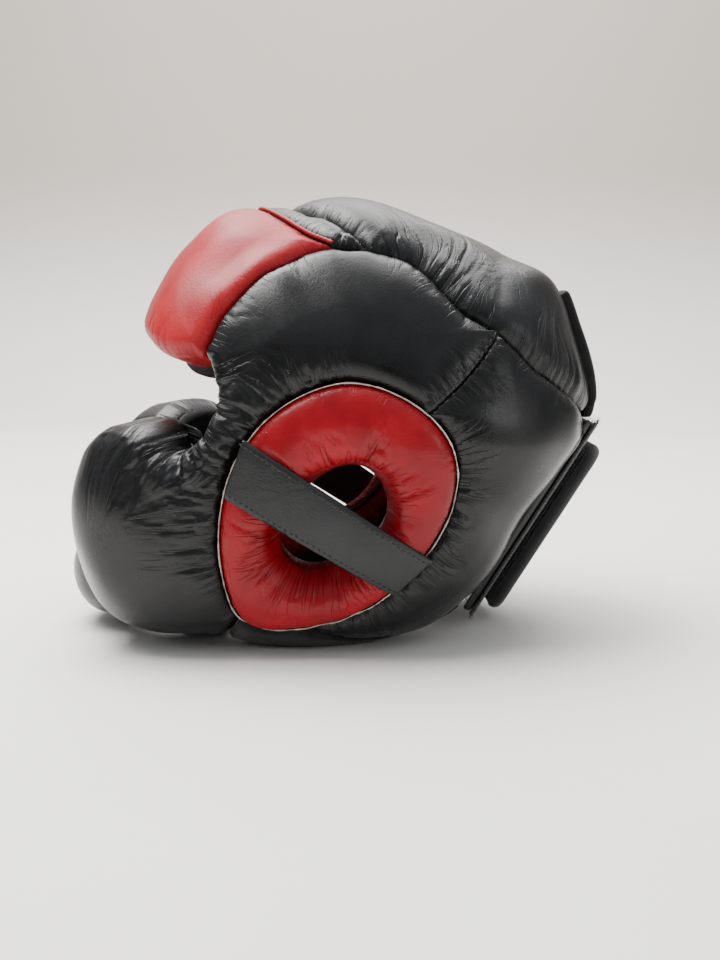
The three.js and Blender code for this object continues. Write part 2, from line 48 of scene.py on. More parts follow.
# ---------------------------------------------------------------- hull and seams

HALF_WIDTH = 104
EAR_Y = 6.45
EAR_Z = 110
CLOSURE_LEAN = math.radians(57.8)
CLOSURE_RADIUS = 110
CLOSURE_CENTRE = 16.9

# The hull as in the CAD: turn from the rear towards the top, radius, squareness.
PROFILE = np.array([
    [0, 131, 2.4], [24, 132, 2.2], [38, 135, 2.1], [50, 124, 2.1], [69, 119, 2.1],
    [90, 125, 2.1], [106, 127, 2.1], [120, 137, 2.2], [132, 138, 2.3], [145, 130, 2.6],
    [158, 126, 3.0], [175, 136, 3.8], [192, 149, 4.6], [205, 157, 4.8], [215, 157, 4.8],
    [224, 147, 4.6], [234, 131, 4.4], [250, 121, 4.0], [275, 114, 3.6], [300, 114, 3.0],
    [318, 111, 2.6], [335, 109, 2.4], [350, 120, 2.4],
])

# Seam curves on the left half, in places some millimetres off the CAD's: points [rear, up]
# in degrees of reach from the ear pole.
SEAM = {
    "foreheadSide": [[-34, 20], [-30, 26.5], [-25, 32.5], [-18.5, 42], [-12, 49.3],
                     [-5, 51.8]],
    "piping": [[-5, 51.8], [-11.5, 56.2], [-19, 63.8], [-28, 74], [-34.5, 83.2]],
    "bridgeSide": [[-5, 51.8], [-1, 51.2], [5, 52.5]],
    "crownBridge": [[5, 52.5], [2, 56.5], [-2, 60.5], [-7, 66], [-12, 69], [-20, 78.5],
                    [-26, 86.2]],
    "crownSide": [[5, 52.5], [11, 53], [17, 52], [23, 46], [29, 35], [34.5, 25.5]],
    "crownWing": [[34.5, 25.5], [40, 22], [47, 17], [58, 12], [74.5, 5]],
    "crownRear": [[74.5, 5], [82, 4.5], [90, 4]],
    "sideWing": [[34.5, 25.5], [25.5, 15], [17, 5.8]],
    "wingRear": [[74.5, 5], [71, -8], [68.5, -20], [65, -31], [58.5, -42.5], [48, -50],
                 [38, -54.5]],
    "wingLower": [[38, -54.5], [28, -56.5], [13, -57], [0, -52], [-14, -44]],
    "jawRim": [[-23, -42.5], [-31, -49]],
    "jaw": [[-31, -49], [-40, -52], [-50, -51]],
    "mouth": [[-50, -51], [-59, -43], [-66.5, -31], [-69.8, -17], [-67, -4], [-61.5, 2]],
    "cheekTop": [[-61.5, 2], [-55, 4.8], [-46, 5.6], [-39, 4], [-34, -1]],
    "eyeCorner": [[-34, -1], [-31, 3.5], [-31.5, 11], [-34, 20]],
    "brow": [[-81.6, 38], [-59.8, 27.9], [-45.3, 21.1], [-34, 20]],
    "rimInner": [[-31, -49], [-28, -56], [-14, -62.5], [4, -64.5], [20, -63],
                 [32, -60], [38, -54.5]],
}
# The ring, its hole and its strap as seen along the ear axis: [rear, up] in millimetres.
RING_SHAPE = [[37.7, 14.9], [21, 25.8], [-4, 31.5], [-32.5, 20.8], [-50.5, 4], [-62, -18],
              [-66.5, -43], [-65, -68], [-58, -90], [-45, -97], [-30, -96.3], [-5, -91],
              [20, -76.3], [39, -54.5], [50.8, -32.5], [53, -12.5], [48, 2.5]]
RING_STRETCHES = {"ringSide": (0, 8), "ringJaw": (8, 10), "ringWing": (10, 17)}
HOLE_SHAPE = [[19.2, -37.6], [17, -22.2], [6.7, -11.6], [-6.4, -11.2], [-21.5, -20],
              [-32.5, -31.9], [-38.5, -45], [-37.7, -59.8], [-27, -69.5], [-9.5, -67],
              [8.1, -56.3]]
HOLE_DEPTH = -4
STRAP_SHAPE = [[-63.5, -24.4], [-53.5, 4.4], [40.5, -58], [21, -76]]
STRAP_LIFT = 4.8


def profile_value(turn, column):
    """Smooth periodic interpolation of one column of PROFILE."""
    count = len(PROFILE)
    wrapped = np.mod(turn, 360.0)
    i = np.clip(np.searchsorted(PROFILE[:, 0], wrapped, side="right") - 1, 0, count - 1)

    def at(k):
        return PROFILE[k % count, 0] + 360.0 * (k // count), PROFILE[k % count, column]

    (x0, y0), (x1, y1), (x2, y2), (x3, y3) = at(i - 1), at(i), at(i + 1), at(i + 2)
    span = x2 - x1
    t = (wrapped - x1) / span
    slope_in = (y2 - y0) / (x2 - x0) * span
    slope_out = (y3 - y1) / (x3 - x1) * span
    t2, t3 = t * t, t * t * t
    return ((2 * t3 - 3 * t2 + 1) * y1 + (t3 - 2 * t2 + t) * slope_in
            + (3 * t2 - 2 * t3) * y2 + (t3 - t2) * slope_out)


def polar(points):
    return np.degrees(np.arctan2(points[:, 1], points[:, 0])), np.hypot(*points.T)


def from_polar(turn, reach):
    return np.stack([reach * np.cos(np.radians(turn)), reach * np.sin(np.radians(turn))], axis=1)


def hull(points, height=0.0):
    """Chart points to places on the hull, raised by height."""
    turn, reach = polar(points)
    square = profile_value(turn, 2)
    c, s = np.cos(np.radians(reach)), np.sin(np.radians(reach))
    rounding = (np.abs(c) ** square + np.abs(s) ** square) ** (-1 / square)
    radius = (profile_value(turn, 1) + height) * rounding * s
    return np.stack([
        (HALF_WIDTH + height) * rounding * c,
        EAR_Y + radius * np.cos(np.radians(turn)),
        EAR_Z + radius * np.sin(np.radians(turn)),
    ], axis=1)


def chart_of(flat, height=0.0):
    """Chart points of places on the hull, from their [rear, up] from the ear axis."""
    turn, size = polar(flat)
    radius, square = profile_value(turn, 1) + height, profile_value(turn, 2)
    s = np.clip(size / radius, 0, 0.99)
    for _ in range(80):
        rounding = (np.sqrt(1 - s ** 2) ** square + s ** square) ** (-1 / square)
        s = (s + np.clip(size / (radius * rounding), 0, 0.99)) / 2
    return from_polar(turn, np.degrees(np.arcsin(s)))


def closure(points, height=0.0):
    """Points (x, along the closure) to places round its outer face, raised by height."""
    radius = CLOSURE_RADIUS + height
    out = CLOSURE_CENTRE + np.sqrt(radius ** 2 - points[:, 0] ** 2)
    along = points[:, 1]
    lean_c, lean_s = math.cos(CLOSURE_LEAN), math.sin(CLOSURE_LEAN)
    return np.stack([
        points[:, 0],
        EAR_Y + along * lean_c + out * lean_s,
        EAR_Z + along * lean_s - out * lean_c,
    ], axis=1)


# ---------------------------------------------------------------- curves and noise

SPAN_SAMPLES = 24     # samples between two points of a curve


def looped(curve):
    """A closed curve with its first point once more at its end."""
    return np.vstack([curve, curve[:1]])


def unit(vectors):
    return vectors / np.linalg.norm(vectors, axis=1)[:, None]


def run_length(space):
    """How far along a path each of its points is."""
    return np.concatenate([[0], np.cumsum(np.linalg.norm(np.diff(space, axis=0), axis=1))])


def spline(points, closed=False):
    """Centripetal Catmull-Rom curve through the points."""
    p = np.array(points, float)
    if closed:
        p = np.vstack([p[-1:], p, p[:2]])
    else:
        p = np.vstack([2 * p[:1] - p[1:2], p, 2 * p[-1:] - p[-2:-1]])
    out = []
    for i in range(1, len(p) - 2):
        gaps = [max(np.linalg.norm(p[k + 1] - p[k]) ** 0.5, 1e-6) for k in (i - 1, i, i + 1)]
        a, b, c = gaps
        start = ((p[i] - p[i - 1]) / a - (p[i + 1] - p[i - 1]) / (a + b)
                 + (p[i + 1] - p[i]) / b) * b
        end = ((p[i + 1] - p[i]) / b - (p[i + 2] - p[i]) / (b + c)
               + (p[i + 2] - p[i + 1]) / c) * b
        t = np.linspace(0, 1, SPAN_SAMPLES, endpoint=False)[:, None]
        out.append((2 * t ** 3 - 3 * t ** 2 + 1) * p[i] + (t ** 3 - 2 * t ** 2 + t) * start
                   + (3 * t ** 2 - 2 * t ** 3) * p[i + 1] + (t ** 3 - t ** 2) * end)
    if not closed:
        out.append(p[-2:-1])
    return np.vstack(out)


def softened(curve, passes):
    """A closed curve with its corners eased."""
    for _ in range(passes):
        curve = (np.roll(curve, 1, 0) + 2 * curve + np.roll(curve, -1, 0)) / 4
    return curve


CORNER_PASSES = 80    # how far the corners of the ring and its hole are eased
RING_CURVE = looped(chart_of(softened(spline(RING_SHAPE, closed=True), CORNER_PASSES)))


def ring_part(name):
    """The ring's three seams are stretches of one closed curve."""
    first, last = RING_STRETCHES[name]
    return RING_CURVE[SPAN_SAMPLES * first:SPAN_SAMPLES * last + 1]


SEAM["sideWing"][-1] = RING_CURVE[0]
SEAM["jawRim"][0] = ring_part("ringJaw")[0]
SEAM["wingLower"][-1] = ring_part("ringWing")[0]


def seam(name, backwards=False):
    line = ring_part(name) if name in RING_STRETCHES else spline(SEAM[name])
    return line[::-1] if backwards else line


def resample(line, place, spacing, closed=False):
    """The same curve with points evenly spaced in space."""
    ring = looped(line) if closed else line
    lengths = run_length(place(ring))
    count = max(int(round(lengths[-1] / spacing)), 2)
    at = np.linspace(0, lengths[-1], count + 1)
    if closed:
        at = at[:-1]
    return np.stack([np.interp(at, lengths, ring[:, k]) for k in (0, 1)], axis=1)


def smooth(t):
    t = np.clip(t, 0, 1)
    return t * t * (3 - 2 * t)


def lattice(x, y, seed):
    """Smooth noise between -1 and 1."""
    table = np.random.default_rng(seed).uniform(-1, 1, (256, 64))
    x0, y0 = np.floor(x), np.floor(y)
    fx, fy = smooth(x - x0), smooth(y - y0)
    i, j = x0.astype(int), y0.astype(int)

    def at(a, b):
        return table[(i + a) % 256, (j + b) % 64]

    return ((at(0, 0) * (1 - fx) + at(1, 0) * fx) * (1 - fy)
            + (at(0, 1) * (1 - fx) + at(1, 1) * fx) * fy)


SWELL_SEED = 31
SWELL_WAVES = 7
SWELL_LENGTHS = (28, 70)


def swell(space, seed):
    """Slow unevenness over a filled pad, between about -1 and 1."""
    rng = np.random.default_rng(seed)
    total = np.zeros(len(space))
    for _ in range(SWELL_WAVES):
        direction = rng.normal(size=3)
        direction /= np.linalg.norm(direction)
        wavelength = rng.uniform(*SWELL_LENGTHS)
        total += np.sin(space @ direction * 2 * math.pi / wavelength + rng.uniform(0, 6.3))
    return total / SWELL_WAVES ** 0.5


class Line:
    """A curve on a surface, which can say how far other points are from it."""

    def __init__(self, chart, place, closed=False, spacing=EDGE_STEP):
        self.chart = resample(chart, place, spacing, closed)
        self.place = place
        self.closed = closed
        self.space = place(self.chart)
        self.along = run_length(looped(self.space) if closed else self.space)
        self.length = self.along[-1]
        self.tree = kdtree.KDTree(len(self.space))
        for i, point in enumerate(self.space):
            self.tree.insert(point, i)
        self.tree.balance()

    def measure(self, space):
        """Distance to the line, and the place along it as a fractional sample."""
        count = len(self.space)
        nearest = np.array([self.tree.find(p)[1] for p in space])
        best = np.full(len(space), 1e9)
        where = nearest.astype(float)
        for shift in (-1, 0):
            first = nearest + shift
            if self.closed:
                first = first % count
                second = (first + 1) % count
            else:
                first = np.clip(first, 0, count - 2)
                second = first + 1
            a, b = self.space[first], self.space[second]
            edge = b - a
            t = np.clip(np.sum((space - a) * edge, 1) / np.maximum(np.sum(edge ** 2, 1), 1e-9),
                        0, 1)
            gap = np.linalg.norm(space - (a + edge * t[:, None]), axis=1)
            closer = gap < best
            best = np.where(closer, gap, best)
            where = np.where(closer, first + t, where)
        return best, where

    def value(self, samples, where):
        """A per-sample value at fractional samples."""
        if self.closed:
            samples = np.append(samples, samples[0])
        return np.interp(where, np.arange(len(samples)), samples)

    def inwards(self, distance):
        """Chart points moved to the left of the direction of travel, by millimetres."""
        before = np.roll(self.chart, 1, 0)
        after = np.roll(self.chart, -1, 0)
        if not self.closed:
            before[0], after[-1] = self.chart[0], self.chart[-1]
        tangent = after - before
        tangent /= np.maximum(np.linalg.norm(tangent, axis=1), 1e-9)[:, None]
        normal = np.stack([-tangent[:, 1], tangent[:, 0]], axis=1)
        scale = np.linalg.norm(self.place(self.chart + normal * 0.05) - self.space, axis=1) / 0.05
        return self.chart + normal * (distance / scale)[:, None]


class Gather:
    """Leather gathered along a line: creases that leave it and fade with distance.

    depth and fade are the creases' depth and reach, wave their spacing, slant how many
    spacings they lean over their reach, ends the share of the line over which they start
    and stop, and sharp their width, where less is narrower.
    """

    def __init__(self, chart, depth, fade, wave, seed, slant=0.0, ends=0.16, sharp=0.2):
        self.line = Line(np.asarray(chart), hull, spacing=1.0)
        self.sharp = sharp
        self.depth, self.fade, self.wave, self.seed = depth, fade, wave, seed
        self.slant, self.ends = slant, ends

    def at(self, space):
        distance, where = self.line.measure(space)
        along = self.line.value(self.line.along, where)
        share = along / self.line.length
        strength = smooth(share / self.ends) * smooth((1 - share) / self.ends)
        phase = along / self.wave + self.slant * distance / self.fade
        phase = phase + 0.3 * lattice(phase * 0.3, distance / 16, self.seed + 5)
        reach = self.fade * (0.72 + 0.4 * lattice(phase * 0.8, 0 * phase, self.seed + 6))
        strength *= np.clip(1 - distance / reach, 0, 1) ** 1.2
        return distance, phase, strength

    def height(self, space, seed):
        distance, phase, strength = self.at(space)
        drift = distance / self.fade * 0.9
        first = lattice(phase, drift, self.seed + seed)
        second = lattice(phase * 1.9 + 7, drift * 1.6, self.seed + seed + 1)
        crease = np.exp(-(first / self.sharp) ** 2)
        crease += 0.4 * np.exp(-(second / (self.sharp + 0.04)) ** 2)
        rise = 0.4 * lattice(phase * 0.9 + 3, drift, self.seed + seed + 2)
        return self.depth * strength * (rise - crease) * smooth(distance / 2.0)


def inside(points, loops):
    result = np.zeros(len(points), bool)
    x, y = points[:, 0], points[:, 1]
    for loop in loops:
        for (ax, ay), (bx, by) in zip(loop, np.roll(loop, -1, 0)):
            if ay == by:
                continue
            crosses = (ay > y) != (by > y)
            result ^= crosses & (x < (bx - ax) * (y - ay) / (by - ay) + ax)
    return result


# ---------------------------------------------------------------- padded patches

OPEN = "open"        # an edge where the leather rolls round to the lining
OPEN_ROLL = 16       # the most that such an edge takes to roll
EVEN_WINDOW = 9      # samples over which a value is blended along an edge


class Patch:
    """A triangulated stretch of a surface, bounded by edges (chart curve, drop, roll)."""

    def __init__(self, edges, place, depth, hole=None, half=False, step=STEP, trim=0.0,
                 rings=(0.03, 0.13, 0.29, 0.5, 0.74, 1.0)):
        self.place, self.depth, self.half, self.trim = place, depth, half, trim
        lines, drops, rolls = [], [], []
        for chart, drop, roll in edges:
            lines.append(resample(chart, place, EDGE_STEP)[:-1])
            drop, roll = self.falls(lines[-1], drop, roll)
            drops.append(drop)
            rolls.append(roll)
        if half:
            end = edges[-1][0][-1:]
            lines.append(end)
            drops.append(drops[-1][-1:])
            rolls.append(rolls[-1][-1:])
        chart = np.vstack(lines)
        self.loops = [(Line(chart, place, not half), np.concatenate(drops),
                       np.concatenate(rolls))]
        if hole is not None:
            chart, drop, roll = hole
            samples = resample(chart, place, EDGE_STEP, True)
            self.loops.append((Line(samples, place, True), *self.falls(samples, drop, roll)))
        self.loops = [(line, self.even(line, drop), self.even(line, roll))
                      for line, drop, roll in self.loops]
        outlines = [line.chart for line, _, _ in self.loops]
        if half:
            first, last = polar(outlines[0][[0, -1]])[0]
            count = max(int(abs(first - last) * 2.2 / step), 2)
            middle = np.linspace(last, first, count + 1)[1:-1]
            outlines = [np.vstack([outlines[0], from_polar(middle, 90)])]
        points = [self.ring(outlines, share) for share in rings]
        points.append(self.grid(outlines, step))
        if trim:
            points.append(self.ring(outlines, None))
        self.triangulate(outlines, np.vstack(points))

    def depth_at(self, chart):
        return self.depth(chart) if callable(self.depth) else np.full(len(chart), self.depth)

    def falls(self, samples, drop, roll):
        """How far and how fast the surface falls at each sample of an edge."""
        half_depth = self.depth_at(samples) / 2
        return (half_depth if drop is OPEN else np.full(len(samples), float(drop)),
                np.minimum(half_depth, OPEN_ROLL) if roll is OPEN
                else np.full(len(samples), float(roll)))

    @staticmethod
    def even(line, samples):
        """Carries a value over to a resampled line, and blends it so that it never jumps."""
        count = len(line.chart)
        if len(samples) != count:
            samples = np.interp(np.linspace(0, 1, count), np.linspace(0, 1, len(samples)),
                                samples)
        window = min(EVEN_WINDOW, count // 2 * 2 - 1)
        pad = window // 2
        mode = "wrap" if line.closed else "edge"
        return np.convolve(np.pad(samples, pad, mode=mode), np.ones(window) / window, "valid")

    def measure(self, chart):
        """Distance to the nearest edge, and how far and how fast the surface falls there."""
        space = self.place(chart)
        distance = np.full(len(chart), 1e9)
        drop, roll = np.zeros(len(chart)), np.ones(len(chart))
        for line, drops, rolls in self.loops:
            gap, where = line.measure(space)
            closer = gap < distance
            distance = np.where(closer, gap, distance)
            drop = np.where(closer, line.value(drops, where), drop)
            roll = np.where(closer, line.value(rolls, where), roll)
        return space, distance, drop, roll

    def ring(self, outlines, share):
        found = []
        for line, _, rolls in self.loops:
            offset = self.trim if share is None else rolls * share
            chart = line.inwards(offset)
            chart = chart[inside(chart, outlines)]
            if not len(chart):
                continue
            space, distance, _, roll = self.measure(chart)
            target = self.trim if share is None else roll * share
            keep = distance > target * 0.93
            if self.half:
                keep &= np.abs(space[:, 0]) > 0.5
            found.append(chart[keep])
        return np.vstack(found) if found else np.zeros((0, 2))

    def grid(self, outlines, step):
        line = self.loops[0][0]
        low, high = line.chart.min(0), line.chart.max(0)
        middle = (low + high) / 2
        probe = self.place(np.array([middle, middle + [0.1, 0], middle + [0, 0.1]]))
        scale_x = np.linalg.norm(probe[1] - probe[0]) / 0.1
        scale_y = np.linalg.norm(probe[2] - probe[0]) / 0.1
        pitch_x, pitch_y = step / scale_x, step / scale_y * 0.87
        columns = np.arange(low[0], high[0], pitch_x)
        rows = np.arange(low[1], high[1], pitch_y)
        x, y = np.meshgrid(columns, rows)
        x = x + (np.arange(len(rows)) % 2 * 0.5 * pitch_x)[:, None]
        chart = np.stack([x.ravel(), y.ravel()], axis=1)
        chart = chart[inside(chart, outlines)]
        space, distance, _, roll = self.measure(chart)
        keep = distance > np.minimum(roll * 0.29, 4) + 0.5 * step
        if self.half:
            keep &= np.abs(space[:, 0]) > 0.7 * step
        return chart[keep]

    def triangulate(self, outlines, points):
        coordinates = [Vector(p) for p in np.vstack([*outlines, points])]
        edges = []
        start = 0
        for outline in outlines:
            count = len(outline)
            edges += [(start + i, start + (i + 1) % count) for i in range(count)]
            start += count
        made = geometry.delaunay_2d_cdt(coordinates, edges, [], 0, 1e-6)
        chart = np.array([tuple(v) for v in made[0]])
        triangles = np.array([tuple(f) for f in made[2]])
        centres = chart[triangles].mean(1)
        keep = inside(centres, outlines)
        if self.trim:
            keep &= self.measure(centres)[1] > self.trim
        triangles = triangles[keep]
        used, flat = np.unique(triangles, return_inverse=True)
        self.chart = chart[used]
        self.triangles = flat.reshape(-1, 3)
        self.measured = self.measure(self.chart)


def rolled(distance, drop, roll):
    """How far the surface falls towards its edge, in a quarter round."""
    t = np.clip(distance / np.maximum(roll, 0.01), 0, 1)
    return drop * (1 - np.sqrt(np.clip(1 - (1 - t) ** 2, 0, 1)))


# ---------------------------------------------------------------- meshes

def new_object(name, vertices, faces, material):
    """A smooth-shaded piece from points in millimetres, riding on the shell."""
    mesh = bpy.data.meshes.new(name)
    mesh.from_pydata((np.asarray(vertices) * MM).tolist(), [], faces)
    mesh.validate()
    mesh.polygons.foreach_set("use_smooth", [True] * len(mesh.polygons))
    mesh.materials.append(material)
    piece = bpy.data.objects.new(name, mesh)
    bpy.context.scene.collection.objects.link(piece)
    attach(piece, "shell")
    return piece


def boundary(triangles):
    """Directed edges that only one triangle has."""
    edges = np.vstack([triangles[:, [0, 1]], triangles[:, [1, 2]], triangles[:, [2, 0]]])
    size = int(triangles.max()) + 1
    key = edges[:, 0] * size + edges[:, 1]
    reverse = edges[:, 1] * size + edges[:, 0]
    return edges[~np.isin(key, reverse)]


def closed_solid(front, back, triangles):
    """Vertices and faces of the body between two faces, with its outside outwards."""
    count = len(front)
    vertices = np.vstack([front, back])
    rim = boundary(triangles)
    wall = np.stack([rim[:, 1], rim[:, 0], rim[:, 0] + count, rim[:, 1] + count], axis=1)
    corners = front[triangles]
    gap = np.sum((front - back)[triangles[:, 0]]
                 * np.cross(corners[:, 1] - corners[:, 0], corners[:, 2] - corners[:, 0]))
    faces = [*triangles.tolist(), *(triangles[:, ::-1] + count).tolist(), *wall.tolist()]
    if gap < 0:
        faces = [face[::-1] for face in faces]
    return vertices, faces


def ring_faces(rows, sides, closed=False, flipped=False):
    """Faces over rows of points round a path, with both its ends closed if it has ends.

    flipped is for points that go round the path the other way.
    """
    faces = []
    for i in range(rows if closed else rows - 1):
        j = (i + 1) % rows
        for k in range(sides):
            m = (k + 1) % sides
            a, b, c, d = i * sides + k, i * sides + m, j * sides + m, j * sides + k
            faces.append((a, d, c, b) if flipped else (a, b, c, d))
    if not closed:
        first, last = tuple(range(sides)), tuple(range((rows - 1) * sides, rows * sides))
        faces += [first, last[::-1]] if flipped else [first[::-1], last]
    return faces


def repeated(faces, size, count):
    """The faces of count bodies of size points each, one after another."""
    return [tuple(n * size + k for k in face) for n in range(count) for face in faces]


def set_values(mesh, name, values):
    values = np.asarray(values, np.float32)
    kind = "FLOAT_VECTOR" if values.ndim == 2 else "FLOAT"
    attribute = mesh.attributes.new(name, kind, "POINT")
    attribute.data.foreach_set("vector" if values.ndim == 2 else "value", values.ravel())


EDGE_THICKNESS = 0.8     # wall left between the faces of an edge that is rolled right round
OPEN_SHARE = 0.42        # an edge that falls by more of the depth than this is rolled round
INNER_ROLL = 5.0         # how far the other edges round off on the inside


class Pad:
    """A filled leather body on a patch: its outer face, its wall and its inner face."""

    def __init__(self, patch, bulge, spread, gathers=(), back_drop=2.0, unevenness=0.5,
                 press=None, floor=0.3):
        self.patch, self.bulge, self.spread = patch, bulge, spread
        self.gathers, self.back_drop, self.unevenness = gathers, back_drop, unevenness
        self.press, self.floor = press, floor

    def outer(self, chart, measured, seed=0, mirrored=False):
        space, distance, drop, roll = measured
        height = -rolled(distance, drop, roll)
        height += self.bulge * (1 - np.exp(-distance / self.spread))
        for gather in self.gathers:
            height += gather.height(space, seed)
        own_side = space * MIRROR if mirrored else space
        height += self.unevenness * swell(own_side, SWELL_SEED) * (1 - np.exp(-distance / 9))
        if self.press:
            height = self.press(space, height)
        return self.clamp(self.patch.place(chart, height), mirrored)

    def inner(self, chart, measured, lift=0.0, mirrored=False):
        """The face towards the head; lift moves it inwards."""
        _, distance, drop, roll = measured
        depth = self.patch.depth_at(chart)
        open_edge = drop > OPEN_SHARE * depth
        back_drop = np.where(open_edge, depth - drop - EDGE_THICKNESS, self.back_drop)
        back_roll = np.where(open_edge, roll, INNER_ROLL)
        height = -depth + rolled(distance, back_drop, back_roll) - lift
        return self.clamp(self.patch.place(chart, height), mirrored)

    def clamp(self, space, mirrored):
        space = space.copy()
        low = space[:, 2] < self.floor
        space[low, 2] = self.floor
        if mirrored:
            space[:, 0] *= -1
        return space

    def pleats(self, measured):
        """Where a point lies in the strongest gather, and how much that one prevails."""
        space = measured[0]
        place = np.zeros((len(space), 3))
        best, second = np.zeros(len(space)), np.zeros(len(space))
        for i, gather in enumerate(self.gathers):
            distance, phase, strength = gather.at(space)
            strength = strength * min(gather.depth, 1.5)
            stronger = strength > best
            second = np.where(stronger, best, np.maximum(second, strength))
            best = np.where(stronger, strength, best)
            here = np.stack([phase, distance / gather.fade, np.full(len(space), i * 7.3)], 1)
            place[stronger] = here[stronger]
        return place, best - second

    def build(self, name, material, mirrored=False, seed=0, lift=None):
        """The pad itself, or the lining behind it if lift is given."""
        patch = self.patch
        chart, measured = patch.chart, patch.measured
        edge = np.clip(measured[1], 0, 60)
        place, gathered = self.pleats(measured)

        def faces_of(on_right):
            if lift is None:
                return (self.outer(chart, measured, seed, on_right),
                        self.inner(chart, measured, 0, on_right))
            near, far = lift
            puff = 1.2 * (1 - np.exp(-np.clip(measured[1] - patch.trim, 0, 99) / 5))
            return (self.inner(chart, measured, near, on_right),
                    self.inner(chart, measured, far + puff, on_right))

        front, back = faces_of(mirrored)
        triangles = patch.triangles
        if patch.half:
            middle = np.abs(front[:, 0]) < 1e-4
            front[middle, 0] = 0
            back[middle, 0] = 0
            other_front, other_back = faces_of(True)
            count = len(front)
            index = np.arange(count)
            index[~middle] = count + np.arange(int((~middle).sum()))
            triangles = np.vstack([triangles, index[triangles][:, ::-1]])
            front = np.vstack([front, other_front[~middle]])
            back = np.vstack([back, other_back[~middle]])
            edge = np.concatenate([edge, edge[~middle]])
            place = np.vstack([place, place[~middle] + [0, 0, 50]])
            gathered = np.concatenate([gathered, gathered[~middle]])
        vertices, faces = closed_solid(front, back, triangles)
        piece = new_object(name, vertices, faces, material)
        set_values(piece.data, "edge", np.tile(edge, 2))
        set_values(piece.data, "pleat", np.tile(place, (2, 1)))
        set_values(piece.data, "gathered", np.tile(gathered, 2))
        return piece


STITCH_STATIONS = [(0.0, 0.5, -0.3), (0.14, 0.9, 0.02), (0.5, 1.0, 0.14), (0.86, 0.9, 0.02),
                   (1.0, 0.5, -0.3)]      # share of its length, width, lift in millimetres
STITCH_SIDES = 6


def stitch_row(name, path, normals, pitch, length, radius):
    """Separate raised stitches along a path in space."""
    along = run_length(path)

    def at(values, where):
        return np.stack([np.interp(where, along, values[:, k]) for k in range(3)], axis=1)

    starts = np.arange(0.6, along[-1] - length, pitch)
    rows = []
    ahead = at(path, starts + length) - at(path, starts)
    for share, width, lift in STITCH_STATIONS:
        centre = at(path, starts + length * share)
        up = unit(at(normals, starts + length * share))
        across = unit(np.cross(ahead, up))
        for k in range(STITCH_SIDES):
            angle = 2 * math.pi * k / STITCH_SIDES
            rows.append(centre + up * (lift + radius * width * math.sin(angle))
                        + across * (radius * width * math.cos(angle)))
    vertices = np.stack(rows, axis=1).reshape(-1, 3)
    faces = ring_faces(len(STITCH_STATIONS), STITCH_SIDES)
    new_object(name, vertices, repeated(faces, len(rows), len(starts)), THREAD)


def tube(name, path, ups, radius, material, sides, closed=False, twist=None):
    """A round edge along a path; twist = (strands, pitch, depth) makes it a rope."""
    count = len(path)
    after = np.roll(path, -1, 0)
    before = np.roll(path, 1, 0)
    if not closed:
        after[-1], before[0] = path[-1], path[0]
    ahead = unit(after - before)
    across = unit(np.cross(ahead, ups))
    up = np.cross(across, ahead)
    along = run_length(path)
    radius = np.broadcast_to(radius, (count,))
    rings = []
    for k in range(sides):
        angle = 2 * math.pi * k / sides
        size = radius
        if twist:
            strands, pitch, depth = twist
            size = radius - depth * np.abs(np.sin(strands * angle / 2 + along * math.pi / pitch))
        rings.append(path + across * (size * math.cos(angle))[:, None]
                     + up * (size * math.sin(angle))[:, None])
    vertices = np.stack(rings, axis=1).reshape(-1, 3)
    return new_object(name, vertices, ring_faces(count, sides, closed, True), material)


# ---------------------------------------------------------------- materials

class Nodes:
    """A short way to write a node tree."""

    def __init__(self, name):
        self.material = bpy.data.materials.new(name)
        self.material.use_nodes = True
        self.tree = self.material.node_tree
        self.shader = self.tree.nodes["Principled BSDF"]

    def node(self, kind, settings=None, **inputs):
        made = self.tree.nodes.new("ShaderNode" + kind)
        for key, value in (settings or {}).items():
            setattr(made, key, value)
        for key, value in inputs.items():
            numbered = key[0] == "i" and key[1:].isdigit()
            self.put(made.inputs[int(key[1:]) if numbered else key.replace("_", " ")], value)
        return made

    def put(self, socket, value):
        """Links a socket to another node's output, or sets it to a constant."""
        if isinstance(value, bpy.types.NodeSocket):
            self.tree.links.new(value, socket)
        else:
            socket.default_value = value

    def noise(self, where, scale, **more):
        return self.node("TexNoise", None, Vector=where, Scale=scale, **more).outputs[0]

    def attribute(self, name, output):
        return self.node("Attribute", {"attribute_name": name}).outputs[output]

    def math(self, operation, a, b=0.0, clamp=False):
        settings = {"operation": operation, "use_clamp": clamp}
        return self.node("Math", settings, i0=a, i1=b).outputs[0]

    def times(self, a, b, clamp=False):
        return self.math("MULTIPLY", a, b, clamp)

    def ramp(self, value, low, high, to_low=0.0, to_high=1.0):
        node = self.node("MapRange", {"interpolation_type": "SMOOTHSTEP"}, Value=value)
        for key, number in (("From Min", low), ("From Max", high), ("To Min", to_low),
                            ("To Max", to_high)):
            node.inputs[key].default_value = number
        return node.outputs[0]

    def mix(self, share, a, b):
        node = self.node("Mix", {"data_type": "RGBA"})
        for index, value in ((0, share), (6, a), (7, b)):
            self.put(node.inputs[index], value)
        return node.outputs[2]

    def bump(self, height, strength, distance, normal=None):
        node = self.node("Bump", None, Height=height, Strength=strength,
                         Distance=distance)
        if normal is not None:
            self.tree.links.new(normal, node.inputs["Normal"])
        return node.outputs[0]

    def set(self, **values):
        for key, value in values.items():
            self.put(self.shader.inputs[key.replace("_", " ")], value)


def rgb(r, g, b):
    return (r, g, b, 1.0)


